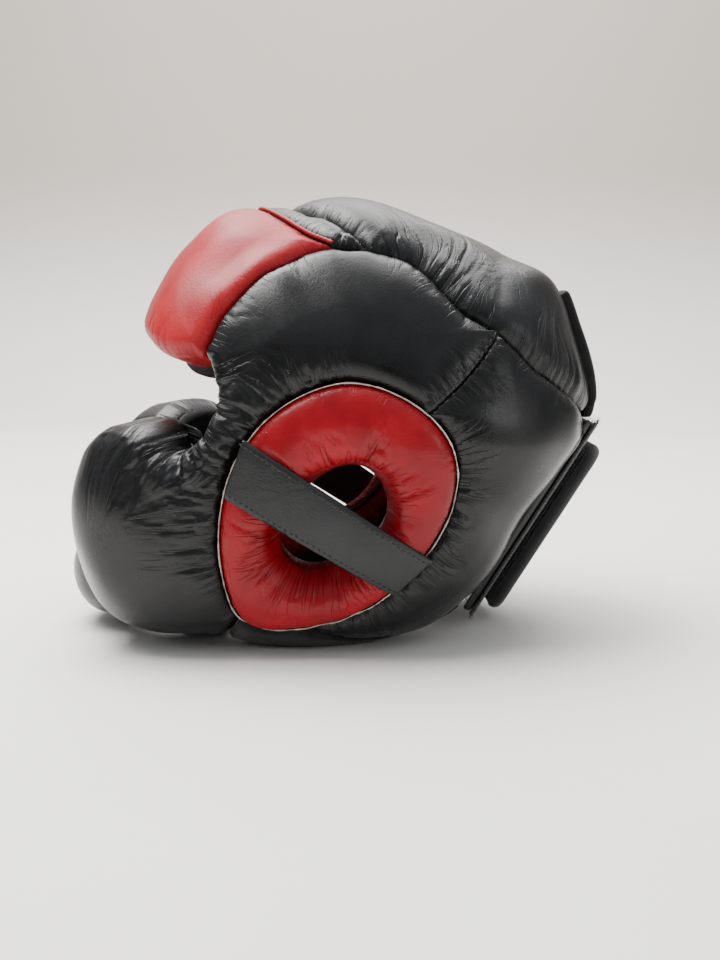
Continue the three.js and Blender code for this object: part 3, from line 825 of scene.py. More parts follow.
def leather(name, deep, base, worn, rough, grain=0.25, crease=0.5, coat=0.0, specular=0.4):
    """Full-grain leather: pebbled grain, loose creases, gathers, wear in scattered patches."""
    n = Nodes(name)
    where = n.node("TexCoord").outputs["Object"]
    cells = n.node("TexVoronoi", {"feature": "SMOOTH_F1"}, Vector=where, Scale=950.0,
                   Smoothness=0.35).outputs["Distance"]
    fine = n.noise(where, 420.0, Detail=4.0, Roughness=0.6)
    broad = n.noise(where, 26.0, Detail=3.0, Roughness=0.55)
    brushed = n.node("Mapping", None, Vector=where, Scale=(1.0, 0.55, 1.0),
                     Rotation=(0.9, 0.0, 0.0)).outputs[0]
    loose = n.noise(brushed, 150.0, Detail=3.0, Roughness=0.6, Distortion=1.2)
    patchy = n.ramp(n.noise(where, 19.0), 0.4, 0.7)
    edge = n.attribute("edge", "Fac")
    gathered = n.attribute("gathered", "Fac")
    pleat = n.attribute("pleat", "Vector")
    stretched = n.node("Mapping", None, Vector=pleat, Scale=(1.7, 1.0, 1.0)).outputs[0]
    folds = n.noise(stretched, 1.0, Detail=1.0, Roughness=0.5)
    fold_lines = n.ramp(n.math("ABSOLUTE", n.math("SUBTRACT", folds, 0.5)), 0.0, 0.035)
    folded = n.times(n.math("SUBTRACT", 1.0, fold_lines), gathered, True)
    normal = n.bump(cells, grain, 0.00035)
    normal = n.bump(fine, grain * 0.6, 0.0002, normal)
    normal = n.bump(n.times(loose, patchy), crease, 0.0012, normal)
    normal = n.bump(n.times(folded, -1.0), 0.75, 0.0008, normal)
    tone = n.mix(n.ramp(broad, 0.3, 0.7), deep, base)
    # Painted shade: within a few millimetres of a pad's edges and seams the tone is darkened
    # towards the deep tone, for the shade in the seam crevices.
    tone = n.mix(n.times(n.ramp(edge, 3.0, 9.0, 1.0, 0.0), 0.35), tone, deep)
    # Painted shade: the gathers' crease lines are darkened towards the deep tone.
    tone = n.mix(n.times(folded, 0.6), tone, deep)
    rub = n.times(n.ramp(fine, 0.5, 0.75), n.ramp(broad, 0.5, 0.72))
    tone = n.mix(n.times(rub, 0.35), tone, worn)
    shine = n.math("ADD", n.ramp(broad, 0.3, 0.7, rough - 0.05, rough + 0.06),
                   n.times(n.math("SUBTRACT", fine, 0.5), 0.16))
    n.set(Base_Color=tone, Roughness=shine, Normal=normal)
    if coat:
        n.set(Coat_Weight=coat, Coat_Roughness=0.28)
    n.set(Specular_IOR_Level=specular)
    return n.material


def cloth(name, deep, base, scale, rough=0.95, sheen=0.5, strength=0.5):
    """Napped cloth or suede: short fibres in brushed patches."""
    n = Nodes(name)
    where = n.node("TexCoord").outputs["Object"]
    nap = n.noise(where, scale, Detail=5.0, Roughness=0.75)
    brushed = n.noise(where, 45.0, Detail=3.0, Distortion=0.7)
    tone = n.mix(n.ramp(brushed, 0.35, 0.68), deep, base)
    tone = n.mix(n.times(n.ramp(nap, 0.55, 0.8), 0.4), tone,
                 tuple(min(c * 2.2, 1.0) for c in base[:3]) + (1.0,))
    n.set(Base_Color=tone, Roughness=rough, Normal=n.bump(nap, strength, 0.0006),
          Sheen_Weight=sheen, Sheen_Roughness=0.6, Specular_IOR_Level=0.2)
    return n.material


def woven(name, deep, base, across, along):
    """Woven tape: cross ribs with a warp over them, laid out on the piece's weave values."""
    n = Nodes(name)
    weave = n.attribute("weave", "Vector")
    part = n.node("SeparateXYZ", None, Vector=weave)
    warp = n.math("ABSOLUTE", n.math("SINE", n.times(part.outputs[0], across)))
    weft = n.math("ABSOLUTE", n.math("SINE", n.times(part.outputs[1], along)))
    grid = n.times(n.math("ADD", warp, weft), 0.5)
    where = n.node("TexCoord").outputs["Object"]
    fuzz = n.noise(where, 900.0, Detail=3.0)
    height = n.math("ADD", grid, n.times(fuzz, 0.35))
    # Painted shade: the tape is darker where the rib height is low, in the grooves between the
    # ribs.
    tone = n.mix(n.ramp(grid, 0.25, 0.9), deep, base)
    n.set(Base_Color=tone, Roughness=0.7, Normal=n.bump(height, 0.8, 0.0007),
          Sheen_Weight=0.25, Specular_IOR_Level=0.3)
    return n.material


BLACK = leather("black_leather_full_grain", rgb(0.0015, 0.0016, 0.0019),
                rgb(0.0045, 0.0048, 0.0054), rgb(0.018, 0.019, 0.021), 0.31, grain=0.12,
                crease=0.28, coat=0.08, specular=0.3)
# The crown's black is a lighter copy of the black leather: its lighter grey is painted highlight
# of the top light on the up-facing crown.
CROWN_BLACK_LIT = leather("black_leather_crown_lit", rgb(0.004, 0.0043, 0.005),
                      rgb(0.011, 0.0116, 0.013), rgb(0.035, 0.037, 0.04), 0.36, grain=0.2,
                      crease=0.4, coat=0.06, specular=0.26)
RED = leather("red_leather_full_grain", rgb(0.18, 0.0015, 0.005), rgb(0.30, 0.003, 0.009),
              rgb(0.48, 0.015, 0.02), 0.34, grain=0.12, crease=0.18, specular=0.26)
# The forehead's red is a lighter, paler copy of the ring's red leather: the lighter tone is
# painted highlight of the top light on the forehead.
FOREHEAD_RED_LIT = leather("red_leather_forehead_lit", rgb(0.26, 0.006, 0.01),
                       rgb(0.38, 0.012, 0.017), rgb(0.52, 0.045, 0.047), 0.42, grain=0.2,
                       crease=0.25, specular=0.25)
STRAP_BLACK = leather("black_leather_strap", rgb(0.007, 0.0075, 0.008),
                      rgb(0.017, 0.018, 0.0195), rgb(0.045, 0.047, 0.05), 0.42, grain=0.25,
                      crease=0.3)
LINING = cloth("suede_lining", rgb(0.004, 0.004, 0.0055), rgb(0.009, 0.009, 0.012), 700.0,
               sheen=0.2)
SUEDE = cloth("black_suede", rgb(0.005, 0.005, 0.006), rgb(0.012, 0.012, 0.014), 800.0,
              sheen=0.12)
VELOUR = cloth("black_velour", rgb(0.002, 0.002, 0.003), rgb(0.006, 0.006, 0.009), 1400.0,
               sheen=0.25, strength=0.8)
RAW = cloth("raw_leather_edge", rgb(0.36, 0.30, 0.25), rgb(0.62, 0.56, 0.49), 900.0,
            rough=0.9, sheen=0.1)
THREAD = cloth("black_thread", rgb(0.004, 0.004, 0.0045), rgb(0.012, 0.012, 0.013), 1600.0,
               rough=0.6, sheen=0.2)
FRAY = cloth("frayed_thread", rgb(0.02, 0.02, 0.022), rgb(0.10, 0.10, 0.10), 900.0, rough=0.8,
             sheen=0.1)
TAPE = woven("hook_tape", rgb(0.004, 0.004, 0.005), rgb(0.02, 0.02, 0.022), 2.2, 1.6)

# ---------------------------------------------------------------- forehead, bridge, crown

LINING_LIFT = (0.25, 1.5)      # how far inside the pad's inner face the lining's faces lie


def declare(piece, fill, *nodes):
    """Hides the CAD nodes that a padded piece stands for, and gives the piece back; fill, how
    full the piece is, is not used.
    """
    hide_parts(*nodes)
    return piece


brow_line = Line(seam("brow"), hull)
piping_line = Line(seam("piping"), hull)
forehead_side_line = Line(seam("foreheadSide"), hull)
BROW_FLAT = (5.5, 54, 24)       # how much flatter, how far up from the brow, over what width


def press_brow(space, height):
    """The forehead pad is flat above the brow."""
    up, _ = brow_line.measure(space)
    inner = smooth(piping_line.measure(space)[0] / 16)
    inner *= smooth(forehead_side_line.measure(space)[0] / 22)
    amount, centre, width = BROW_FLAT
    return height - amount * np.exp(-((up - centre) / width) ** 2) * inner


BROW_TURN = 2.6       # degrees between the brow's edge and its lining's, round the ear axis


def turned(chart, degrees):
    """Chart points moved round the ear axis."""
    c, s = math.cos(math.radians(degrees)), math.sin(math.radians(degrees))
    return chart @ np.array([[c, s], [-s, c]])


FOREHEAD_EDGES = [(seam("brow"), 9, 9), (seam("foreheadSide"), 4.5, 9), (seam("piping"), 3.5, 8)]
BRIDGE_EDGES = [(seam("piping", True), 3.5, 6), (seam("bridgeSide"), 5, 9),
                (seam("crownBridge"), 6, 8)]
CROWN_EDGES = [(seam("crownBridge", True), 6, 13), (seam("crownSide"), 7, 14),
               (seam("crownWing"), 6, 13), (seam("crownRear"), OPEN, OPEN)]
FOREHEAD_DEPTH = 28
CROWN_DEPTH = 22

forehead_patch = Patch(FOREHEAD_EDGES, hull, FOREHEAD_DEPTH, half=True)
forehead = Pad(forehead_patch, 3.4, 14, [
    Gather(seam("brow"), 0.7, 20, 7.5, 11, ends=0.02),
    Gather(seam("foreheadSide"), 0.45, 14, 7, 12),
    Gather(seam("piping"), 0.5, 17, 8, 13, ends=0.02),
], press=press_brow, back_drop=9)
declare(forehead.build("forehead_pad", FOREHEAD_RED_LIT), 0.85,
        "forehead_cover", "forehead_foam")

bridge_patch = Patch(BRIDGE_EDGES, hull, CROWN_DEPTH, half=True)
bridge = Pad(bridge_patch, 2.2, 8, [
    Gather(seam("piping", True), 0.9, 18, 6, 21, ends=0.02),
    Gather(seam("bridgeSide"), 1.5, 26, 5, 22),
    Gather(seam("crownBridge"), 0.9, 16, 6, 23, ends=0.02),
])
declare(bridge.build("crown_bridge_pad", BLACK), 0.6,
        "crown_bridge_cover", "crown_bridge_foam")

crown_patch = Patch(CROWN_EDGES, hull, CROWN_DEPTH, half=True)
crown = Pad(crown_patch, 4.4, 20, [
    Gather(seam("crownBridge", True), 0.9, 20, 6.5, 31, ends=0.02),
    Gather(seam("crownSide"), 1.2, 52, 6, 32, slant=3.2),
    Gather(seam("crownWing"), 1.2, 54, 6, 33, slant=3.2),
], unevenness=0.7)
declare(crown.build("crown_pad", CROWN_BLACK_LIT), 0.8,
        "crown_cover", "crown_foam")

# Linings: thin suede-faced bodies that follow the pads' inner faces.
LINING_STEP = 2.6


def lining(name, edges, depth, nodes, half=False, hole=None, mirrored=False, trim=4.0,
           lift=LINING_LIFT):
    patch = Patch(edges, hull, depth, half=half, hole=hole, step=LINING_STEP, trim=trim,
                  rings=(0.5, 0.74, 1.0))
    pad = Pad(patch, 0, 10)
    piece = pad.build(name, LINING, mirrored=mirrored, lift=lift)
    return declare(piece, 0.3, *nodes)


lining("forehead_inner", [(turned(seam("brow"), BROW_TURN), 3, 5), *FOREHEAD_EDGES[1:]],
       FOREHEAD_DEPTH, ["forehead_lining"], half=True, trim=0.6, lift=(0.25, 4.0))
lining("crown_inner", BRIDGE_EDGES[:2] + CROWN_EDGES[1:], CROWN_DEPTH, ["crown_lining"],
       half=True)

# ---------------------------------------------------------------- sides

TEMPLE_DEPTH, CHEEK_EXTRA = 25, 11
WING_DEPTH, RING_DEPTH, RIM_DEPTH = 15, 24, 11


def side_depth(chart):
    """The side panel thickens from the temple to the cheek."""
    turn, reach = polar(chart)
    forward = -reach * np.cos(np.radians(turn))
    below = smooth((np.mod(turn, 360) - 150) / 12) * smooth((256 - np.mod(turn, 360)) / 12)
    return TEMPLE_DEPTH + CHEEK_EXTRA * smooth((forward - 24) / 20) * below


SIDE_EDGES = [
    (seam("foreheadSide"), 4.5, 9), (seam("bridgeSide"), 5, 11), (seam("crownSide"), 7, 15),
    (seam("sideWing"), 0.6, 2.2), (seam("ringSide"), 6.5, 12), (seam("jawRim"), 4, 8),
    (seam("jaw"), OPEN, OPEN), (seam("mouth"), OPEN, OPEN), (seam("cheekTop"), OPEN, OPEN),
    (seam("eyeCorner"), OPEN, OPEN),
]
side_patch = Patch(SIDE_EDGES, hull, side_depth)
WAIST_LINE = spline([[-34, 17], [-31.5, 10], [-31, 3], [-34, -2], [-40, 3]])
CHEEK_LINE = spline([[-60, 0.5], [-48, 2], [-38, 0], [-30, -4], [-25, -12], [-24.5, -26]])
side = Pad(side_patch, 3.6, 18, [
    Gather(WAIST_LINE, 2.7, 36, 4.2, 41),
    Gather(spline([[2, 15.3], [-8, 12.9], [-15.5, 9], [-20.6, 2], [-22.9, -8],
                   [-23.9, -20], [-24.6, -31]]), 2.3, 28, 4.4, 42),
    Gather(CHEEK_LINE, 1.0, 56, 5.5, 43, slant=1.0),
    Gather(seam("foreheadSide"), 0.5, 22, 6.5, 44),
    Gather(seam("crownSide"), 0.7, 24, 7.0, 45),
    Gather(seam("sideWing"), 0.7, 26, 6.0, 46),
    Gather(seam("mouth"), 0.5, 16, 8.0, 47),
])

WING_EDGES = [
    (seam("crownWing"), 4.5, 9), (seam("wingRear"), 1.2, 2.4), (seam("wingLower"), 4, 8),
    (seam("ringWing"), 5.5, 11), (seam("sideWing", True), 0.6, 2.2),
]
wing_patch = Patch(WING_EDGES, hull, WING_DEPTH)
wing_rear_line = Line(seam("wingRear"), hull)
WING_FLAT = 2.0
WING_FLAT_REACH = 36


def press_wing(space, height):
    """The wing is flat towards the closure."""
    distance, _ = wing_rear_line.measure(space)
    return height - WING_FLAT * smooth(1 - distance / WING_FLAT_REACH) * smooth(distance / 5)


wing = Pad(wing_patch, 2.6, 15, [
    Gather(seam("ringWing"), 1.3, 30, 5.0, 51),
    Gather(seam("crownWing"), 0.5, 20, 8, 52),
    Gather(seam("sideWing", True), 0.7, 24, 6, 53),
], press=press_wing)

# ---------------------------------------------------------------- ear rings

ring_loop = np.vstack([ring_part(name)[:-1] for name in RING_STRETCHES])
ring_line = Line(ring_loop[::-1], hull, closed=True)
RING_INSET = 1.2
ring_outline = ring_line.inwards(RING_INSET)[::-1]
hole_curve = chart_of(softened(spline(HOLE_SHAPE, closed=True), CORNER_PASSES), HOLE_DEPTH)


def strap_side(first, last):
    """A straight side of the strap, as seen along the ear axis."""
    ends = np.array(STRAP_SHAPE, float)[[first, last]]
    return chart_of(ends[0] + np.linspace(0, 1, 60)[:, None] * (ends[1] - ends[0]), STRAP_LIFT)


strap_sides = [strap_side(k, (k + 1) % 4) for k in range(4)]
strap_middle = Line((strap_sides[1] + strap_sides[3][::-1]) / 2, hull, spacing=1.0)

STRAP_PRESS = 2.3        # height of the ring under the strap
PRESS_REACH = 23         # how far from the strap's middle the ring is held down
PRESS_FADE = 8
RING_HIGHEST = 14


def press_under_strap(space, height):
    """The strap holds the ring down where it crosses it."""
    distance, _ = strap_middle.measure(space)
    share = smooth((PRESS_REACH - distance) / PRESS_FADE)
    return np.minimum(height, STRAP_PRESS * share + (1 - share) * RING_HIGHEST)


HOLE_EDGE = (hole_curve, OPEN, 11.0)
RING_RIM = [(ring_outline[::-1], 4.0, 9)]
ring_patch = Patch(RING_RIM, hull, RING_DEPTH, hole=HOLE_EDGE, step=STEP * 0.85)
ring = Pad(ring_patch, 4.0, 10, [
    Gather(looped(hole_curve), 2.6, 25, 5.2, 61, ends=0.03, sharp=0.15),
    Gather(looped(ring_outline), 0.5, 12, 6.0, 62, ends=0.03),
], press=press_under_strap, unevenness=0.3)

# ---------------------------------------------------------------- straps on the rings

strap_outline = np.vstack([curve[:-1] for curve in strap_sides])


def over_strap(chart, height=0.0):
    return hull(chart, height + STRAP_LIFT)


strap_patch = Patch([(strap_outline[::-1], 0.9, 1.6)], over_strap, 2.0,
                    step=STEP, rings=(0.1, 0.4, 1.0))
strap = Pad(strap_patch, 0.5, 5, back_drop=0.4, unevenness=0.25)

RIM_EDGES = [(seam("ringJaw"), 2, 4), (seam("wingLower", True), 2, 4),
             (seam("rimInner", True), 2, 4), (seam("jawRim", True), 2, 4)]
rim_patch = Patch(RIM_EDGES, hull, RIM_DEPTH)
rim = Pad(rim_patch, 1.2, 8, [Gather(seam("wingLower"), 0.4, 12, 9, 71)], floor=0.05)

RAW_HEIGHT, RAW_DIPS = -1.35, 0.55      # where the raw edge lies against the hull
RAW_RADIUS, RAW_WOBBLE = 0.34, 0.18

for tag, mirrored, seed in (("left", False, 0), ("right", True, 100)):
    declare(side.build(f"{tag}_side_pad", BLACK, mirrored, seed), 0.85,
            f"{tag}_side_cover", f"{tag}_temple_foam", f"{tag}_cheek_foam")
    lining(f"{tag}_side_inner", SIDE_EDGES, side_depth, [f"{tag}_side_lining"],
           mirrored=mirrored)
    declare(wing.build(f"{tag}_wing_pad", BLACK, mirrored, seed), 0.6,
            f"{tag}_wing_cover", f"{tag}_wing_foam")
    lining(f"{tag}_wing_inner", WING_EDGES, WING_DEPTH, [f"{tag}_wing_lining"], mirrored=mirrored)
    declare(ring.build(f"{tag}_ring_pad", RED, mirrored, seed), 0.85,
            f"{tag}_ear_ring_cover", f"{tag}_ear_ring_foam")
    lining(f"{tag}_ring_inner", RING_RIM, RING_DEPTH, [f"{tag}_ear_ring_lining"],
           hole=HOLE_EDGE, mirrored=mirrored, trim=11.0)
    declare(strap.build(f"{tag}_strap_band", STRAP_BLACK, mirrored, seed), 0.2,
            f"{tag}_ear_strap")
    declare(rim.build(f"{tag}_rim_band", SUEDE, mirrored, seed), 0.3,
            f"{tag}_lower_rim")
    # The ring's raw leather edge, between the ring and its neighbours.
    sign = np.array([-1 if mirrored else 1, 1, 1])
    edge_chart = resample(ring_line.inwards(0.55), hull, 1.2, True)
    order, still = np.arange(len(edge_chart)), np.zeros(len(edge_chart))
    edge_path = hull(edge_chart, RAW_HEIGHT + RAW_DIPS * lattice(order * 0.13, still, 82)) * sign
    edge_up = (hull(edge_chart, 5) - hull(edge_chart, 0)) * sign
    wobble = RAW_WOBBLE * lattice(order * 0.47, still, 81)
    piece = tube(f"{tag}_ring_raw_edge", edge_path, edge_up, RAW_RADIUS + wobble, RAW,
                 8, closed=True)
    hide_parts(f"{tag}_ear_ring_edge")


STITCH_ABOVE = 0.15      # height of a stitch's middle over the leather


def row_on(pad, chart, name, mirrored, *sizes):
    """A row of stitches laid on a pad's outer face along chart points."""
    path = pad.outer(chart, pad.patch.measure(chart), 0, mirrored)
    normals = pad.patch.place(chart, 1.0) - pad.patch.place(chart, 0.0)
    if mirrored:
        normals = normals * MIRROR
    stitch_row(name, path + unit(normals) * STITCH_ABOVE, normals, *sizes)


for tag, mirrored in (("left", False), ("right", True)):
    for part, curve in (("upper", strap_sides[1]), ("lower", strap_sides[3])):
        line = Line(curve, over_strap)
        row_on(strap, line.inwards(-2.6), f"{tag}_strap_{part}_stitches", mirrored,
               3.2, 2.2, 0.4)
    line = Line(seam("sideWing"), hull)
    row_on(side, line.inwards(-2.2), f"{tag}_side_stitches", mirrored, 4.6, 3.0, 0.4)

# ---------------------------------------------------------------- forehead welt

welt_half = resample(seam("piping"), hull, 0.6)
welt_left = [hull(welt_half, 0.5), hull(welt_half, 6) - hull(welt_half, 1)]
welt_path, welt_ups = (np.vstack([half, (half * MIRROR)[::-1][1:]]) for half in welt_left)
WELT_RADIUS = 1.35
WELT_TWIST = (2, 2.6, 0.45)
# The welt takes the forehead's lighter red, painted highlight included.
welt = tube("forehead_welt", welt_path, welt_ups, WELT_RADIUS, FOREHEAD_RED_LIT, 14,
            twist=WELT_TWIST)
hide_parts("forehead_piping")

# ---------------------------------------------------------------- crown tab

TAB_TURNS = (3, 33)         # from its lower to its upper end, in degrees round the ear axis
TAB_REACH = 79              # its side, in degrees of reach
TAB_CORNER = 3
TAB_FALL, TAB_ROLL = 1.5, 2.2
TAB_LIFT, TAB_SAG, TAB_DEPTH = 4.6, 0.8, 5.8

tab_low, tab_high = TAB_TURNS
tab_corner = tab_low + TAB_CORNER
cut = np.array([0, TAB_CORNER])
tab_sides = [
    from_polar(tab_high, np.linspace(90, TAB_REACH, 8)),
    from_polar(np.linspace(tab_high, tab_corner, 12), TAB_REACH),
    from_polar(tab_corner - cut, TAB_REACH + cut),
    from_polar(tab_low, np.linspace(TAB_REACH + TAB_CORNER, 90, 8)),
]
TAB_EDGES = [(curve, TAB_FALL, TAB_ROLL) for curve in tab_sides]


def over_crown(chart, height=0.0):
    """The crown pad's outer face, on which the tab lies, with its rear edge rounded."""
    _, distance, drop, roll = crown_patch.measure(chart)
    face = crown.bulge * (1 - np.exp(-distance / crown.spread))
    sag = np.minimum(rolled(distance, drop, roll), TAB_SAG)
    return hull(chart, height + face + TAB_LIFT - sag)


tab_patch = Patch(TAB_EDGES, over_crown, TAB_DEPTH, half=True, rings=(0.1, 0.4, 1.0))
tab = Pad(tab_patch, 0.6, 6, unevenness=0.3, back_drop=0.8)
declare(tab.build("crown_tab_band", SUEDE), 0.3, "crown_rear_tab")

# ---------------------------------------------------------------- chin bar

bar_curve = [(-38, -119, 31), (-21, -136.5, 31), (0, -142, 31), (21, -136.5, 31),
             (38, -119, 31)]
bar_line = spline(bar_curve)
bar_rows = len(bar_line)
bar_sides = 56
BAR_HALF_DEPTH, BAR_HALF_HEIGHT = 17, 23
BAR_PINCH_START = 0.45      # share of its half length where the gathers to the cheek start
BAR_PINCH = 0.12
BAR_PLEATS = 14
BAR_LOWEST = 0.5
bar_share = np.linspace(-1, 1, bar_rows)
bar_tangent = unit(np.gradient(bar_line, axis=0))
bar_out = unit(np.cross(bar_tangent, [0, 0, 1.0]))
bar_up = np.cross(bar_out, bar_tangent)
bar_vertices = []
for k in range(bar_sides):
    angle = 2 * math.pi * k / bar_sides
    c, s = math.cos(angle), math.sin(angle)
    around = np.full(bar_rows, k / bar_sides * BAR_PLEATS)
    pinch = smooth((np.abs(bar_share) - BAR_PINCH_START) / (1 - BAR_PINCH_START))
    pleats = pinch * 0.9 * np.exp(-(lattice(around, bar_share * 1.5, 91) / 0.25) ** 2)
    size = 1 - BAR_PINCH * pinch
    point = (bar_line + [0, EAR_Y, 0]
             + bar_out * ((BAR_HALF_DEPTH * size - pleats) * c)[:, None]
             + bar_up * ((BAR_HALF_HEIGHT * size - pleats) * s)[:, None])
    bar_vertices.append(point)
bar_vertices = np.stack(bar_vertices, axis=1).reshape(-1, 3)
bar_vertices[:, 2] = np.maximum(bar_vertices[:, 2], BAR_LOWEST)
chin_bar = new_object("chin_bar_pad", bar_vertices, ring_faces(bar_rows, bar_sides), BLACK)
declare(chin_bar, 0.8, "chin_bar_cover", "chin_bar_foam")

# ---------------------------------------------------------------- rear closure

def rounded_rectangle(x0, x1, y0, y1, corners):
    """Outline with its corner radii in the order low-left, low-right, high-right, high-left."""
    points = []
    centres = [(x0, y0, 180), (x1, y0, 270), (x1, y1, 0), (x0, y1, 90)]
    for (x, y, start), radius in zip(centres, corners):
        cx = x + radius if x == x0 else x - radius
        cy = y + radius if y == y0 else y - radius
        for step in range(9 if radius > 0.5 else 1):
            angle = math.radians(start + step * 90 / 8)
            points.append((cx + radius * math.cos(angle), cy + radius * math.sin(angle)))
    return np.array(points)


SLAB_STEP = 2.4


def slab(name, outline, place, thickness, material, body, node, roll=None, bulge=0.3,
         uneven=0.2):
    """A flat soft layer: its top face at height 0 of place, its lower face below."""
    drop = thickness / 2 - 0.05
    roll = roll or thickness * 0.6
    patch = Patch([(looped(outline), drop, roll)], place, thickness, step=SLAB_STEP,
                  rings=(0.05, 0.3, 0.65, 1.0))
    piece = Pad(patch, bulge, 4, unevenness=uneven, floor=0.0).build(name, material)
    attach(piece, body)
    set_values(piece.data, "weave", np.tile(np.column_stack([patch.chart,
                                                             patch.chart[:, 0] * 0]), (2, 1)))
    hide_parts(node)


def tape(name, outline, place, thickness, body, node):
    """A thin woven layer, flat and unfilled."""
    slab(name, outline, place, thickness, TAPE, body, node, bulge=0,
         uneven=0)


def at_radius(radius):
    """Points (x, along the closure) to places round it, at a radius of its own."""
    return lambda points, height=0.0: closure(points, height + radius - CLOSURE_RADIUS)


slab("rear_tongue_band", rounded_rectangle(-29, 33, -50, 75, (2, 2, 2, 2)), at_radius(97.2),
     4.0, STRAP_BLACK, "shell", "rear_tongue")
tape("rear_loop_tape", rounded_rectangle(-25, 32, -51, 76, (1, 1, 1, 1)), at_radius(99.8),
     1.8, "shell", "rear_loop_patch")
tape("rear_hook_tape", rounded_rectangle(-22, 18, -39, 61, (4, 4, 4, 4)), at_radius(102.1),
     1.6, "rear_flap", "rear_hook_patch")
slab("rear_flap_pad", rounded_rectangle(-37, 23, -44, 66, (2, 13, 13, 2)), at_radius(109.8),
     7.2, VELOUR, "rear_flap", "rear_flap", roll=4.0, bulge=0.6)
slab("rear_flap_fold", rounded_rectangle(-52, -37.6, -44, 66, (4, 2, 2, 4)), at_radius(109.0),
     11.0, STRAP_BLACK, "shell", "rear_flap_root", roll=5.0)


FRAY_RADIUS = 0.16
FRAY_ROWS = 5


def frayed(name, starts, ways, material):
    """Loose thread ends: short bent three-sided fibres, joined in one piece."""
    rng = np.random.default_rng(7)
    vertices = []
    for start, way in zip(starts, ways):
        bend = rng.normal(size=3) * 0.9
        for j in range(FRAY_ROWS):
            t = j / (FRAY_ROWS - 1)
            centre = start + way * t + bend * t * t
            for k in range(3):
                angle = 2 * math.pi * k / 3
                size = FRAY_RADIUS * (1 - 0.5 * t)
                vertices.append(centre + size * np.array([math.cos(angle), math.sin(angle), 0]))
    faces = repeated(ring_faces(FRAY_ROWS, 3), 3 * FRAY_ROWS, len(starts))
    new_object(name, np.array(vertices), faces, material)


FRAY_THREADS = 70
TAPE_MIDDLE = -11.0      # height of the loop tape's middle over the closure's outer face
fray_rng = np.random.default_rng(3)
for place_name, at, away in (("upper", 75.6, 1), ("lower", -50.6, -1)):
    spots = np.column_stack([fray_rng.uniform(-24, 31.5, FRAY_THREADS),
                             np.full(FRAY_THREADS, at)])
    fray_start = closure(spots, fray_rng.uniform(-11.6, -10.4, FRAY_THREADS))
    fray_way = closure(spots + [0, away], TAPE_MIDDLE) - closure(spots, TAPE_MIDDLE)
    fray_way = fray_way * fray_rng.uniform(1.5, 3.6, (FRAY_THREADS, 1))
    frayed(f"rear_tape_{place_name}_fray", fray_start, fray_way, FRAY)

# ---------------------------------------------------------------- chin strap

STRAP_Y = (-88, -63)


def at_level(top):
    """Points (x, y) to places at a height above the floor."""
    return lambda points, height=0.0: np.column_stack(
        [points, np.zeros(len(points)) + (height + top)])


slab("right_chin_band", rounded_rectangle(-43, 20, *STRAP_Y, (1, 5, 5, 1)), at_level(2.3),
     2.2, STRAP_BLACK, "chin_strap", "right_chin_strap", bulge=0.1)
tape("chin_hook_tape", rounded_rectangle(-8, 18, -86, -65, (1, 4, 4, 1)), at_level(3.9),
     1.1, "chin_strap", "chin_hook_patch")
tape("chin_loop_tape", rounded_rectangle(-14, 22, -86, -65, (1, 1, 1, 1)), at_level(5.45),
     1.1, "shell", "chin_loop_patch")
slab("left_chin_band", rounded_rectangle(-16, 43, *STRAP_Y, (1, 1, 1, 1)), at_level(8.2),
     2.2, STRAP_BLACK, "shell", "left_chin_strap", bulge=0.1)

# ---------------------------------------------------------------- floor, light and camera

def floor_material():
    n = Nodes("pale_floor")
    where = n.node("TexCoord").outputs["Object"]
    cloud = n.noise(where, 2.2, Detail=4.0)
    tone = n.mix(n.ramp(cloud, 0.35, 0.7), rgb(0.83, 0.82, 0.79), rgb(0.88, 0.87, 0.84))
    # Painted shade: the backdrop turns darker and warmer up the wall, away from the lamps.
    height = n.node("SeparateXYZ", None, Vector=where).outputs[2]
    tone = n.mix(n.ramp(height, 0.0, 0.5), tone, rgb(0.57, 0.525, 0.475))
    n.set(Base_Color=tone, Roughness=0.75, Specular_IOR_Level=0.25)
    return n.material


FLOOR_BACK = -1.45
WALL_BEND = 0.45
floor_line = [(1.6, 0.0)]
for i in range(13):
    angle = math.radians(i * 90 / 12)
    floor_line.append((FLOOR_BACK - WALL_BEND * math.sin(angle),
                       WALL_BEND - WALL_BEND * math.cos(angle)))
floor_line.append((FLOOR_BACK - WALL_BEND, 2.6))
floor_vertices = [(x, y, z) for x, z in floor_line for y in (-3.0, 3.0)]
floor_faces = [(2 * i, 2 * i + 1, 2 * i + 3, 2 * i + 2) for i in range(len(floor_line) - 1)]
floor_mesh = bpy.data.meshes.new("studio_floor")
floor_mesh.from_pydata(floor_vertices, [], floor_faces)
floor_mesh.polygons.foreach_set("use_smooth", [True] * len(floor_mesh.polygons))
floor_mesh.materials.append(floor_material())
floor = bpy.data.objects.new("studio_floor", floor_mesh)
bpy.context.scene.collection.objects.link(floor)


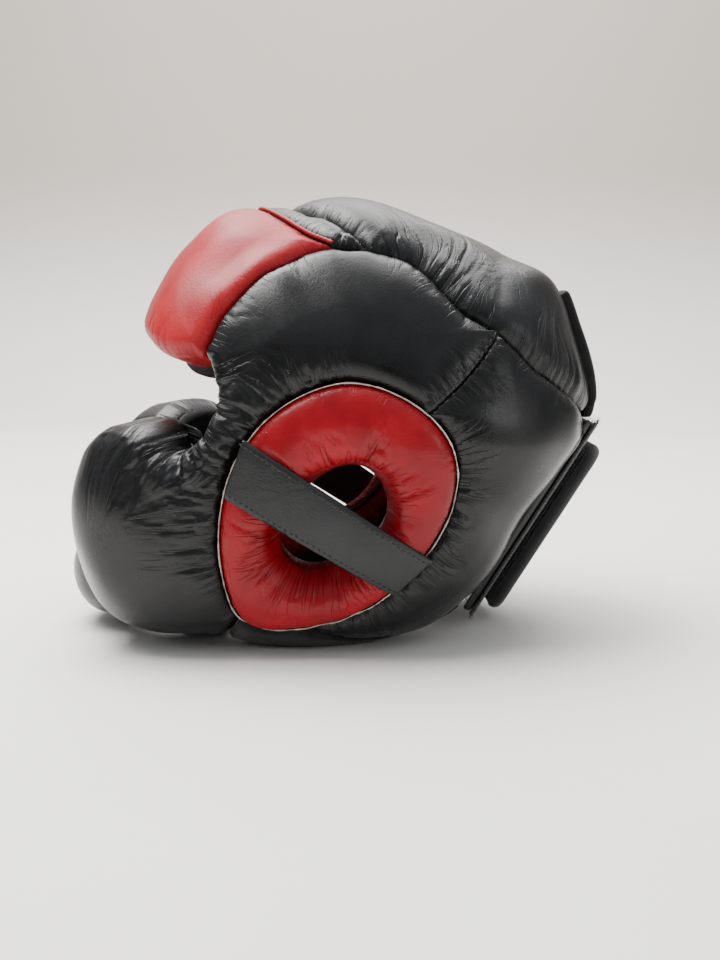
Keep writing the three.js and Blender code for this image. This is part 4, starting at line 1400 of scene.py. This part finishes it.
def area_light(name, location, target, width, height, power, tint=(1, 1, 1)):
    lamp = bpy.data.lights.new(name, "AREA")
    lamp.shape = "RECTANGLE"
    lamp.size, lamp.size_y, lamp.energy, lamp.color = width, height, power, tint
    piece = bpy.data.objects.new(name, lamp)
    bpy.context.scene.collection.objects.link(piece)
    piece.location = location
    piece.rotation_mode = "QUATERNION"
    piece.rotation_quaternion = (Vector(target) - Vector(location)).to_track_quat("-Z", "Y")


CENTRE = (0, 0, 0.12)
area_light("top_light", (-0.05, -0.45, 1.08), CENTRE, 1.0, 0.6, 26, (1.0, 0.99, 0.97))
area_light("floor_light", (-1.0, 0.0, 1.7), (-0.6, 0.0, 0.0), 1.8, 2.2, 80, (1.0, 0.99, 0.97))
area_light("rear_fill", (1.1, 1.5, 0.55), CENTRE, 0.6, 0.6, 5)

world = bpy.data.worlds.new("studio")
bpy.context.scene.world = world
world.use_nodes = True
sky = world.node_tree
background = sky.nodes["Background"]
direction = sky.nodes.new("ShaderNodeTexCoord")
parts = sky.nodes.new("ShaderNodeSeparateXYZ")
fade = sky.nodes.new("ShaderNodeMapRange")
SKY_FADE = {"From Min": 0.05, "From Max": 0.8, "To Min": 0.08, "To Max": 0.9}
for key, value in SKY_FADE.items():
    fade.inputs[key].default_value = value
sky.links.new(direction.outputs["Generated"], parts.inputs[0])
sky.links.new(parts.outputs["Z"], fade.inputs["Value"])
sky.links.new(fade.outputs[0], background.inputs["Strength"])
background.inputs["Color"].default_value = rgb(0.95, 0.96, 1.0)

CAMERA_AT = Vector((0.700, 0.00145, 0.176))
CAMERA_YAW = math.radians(0.84)
CAMERA_PITCH = math.radians(7.84)
camera_data = bpy.data.cameras.new("camera")
camera_data.lens = 46.05
camera_data.sensor_width = 36
camera = bpy.data.objects.new("camera", camera_data)
bpy.context.scene.collection.objects.link(camera)
camera.location = CAMERA_AT
forward = Vector((-math.cos(CAMERA_YAW) * math.cos(CAMERA_PITCH),
                  math.sin(CAMERA_YAW) * math.cos(CAMERA_PITCH), -math.sin(CAMERA_PITCH)))
camera.rotation_mode = "QUATERNION"
camera.rotation_quaternion = forward.to_track_quat("-Z", "Y")
bpy.context.scene.camera = camera
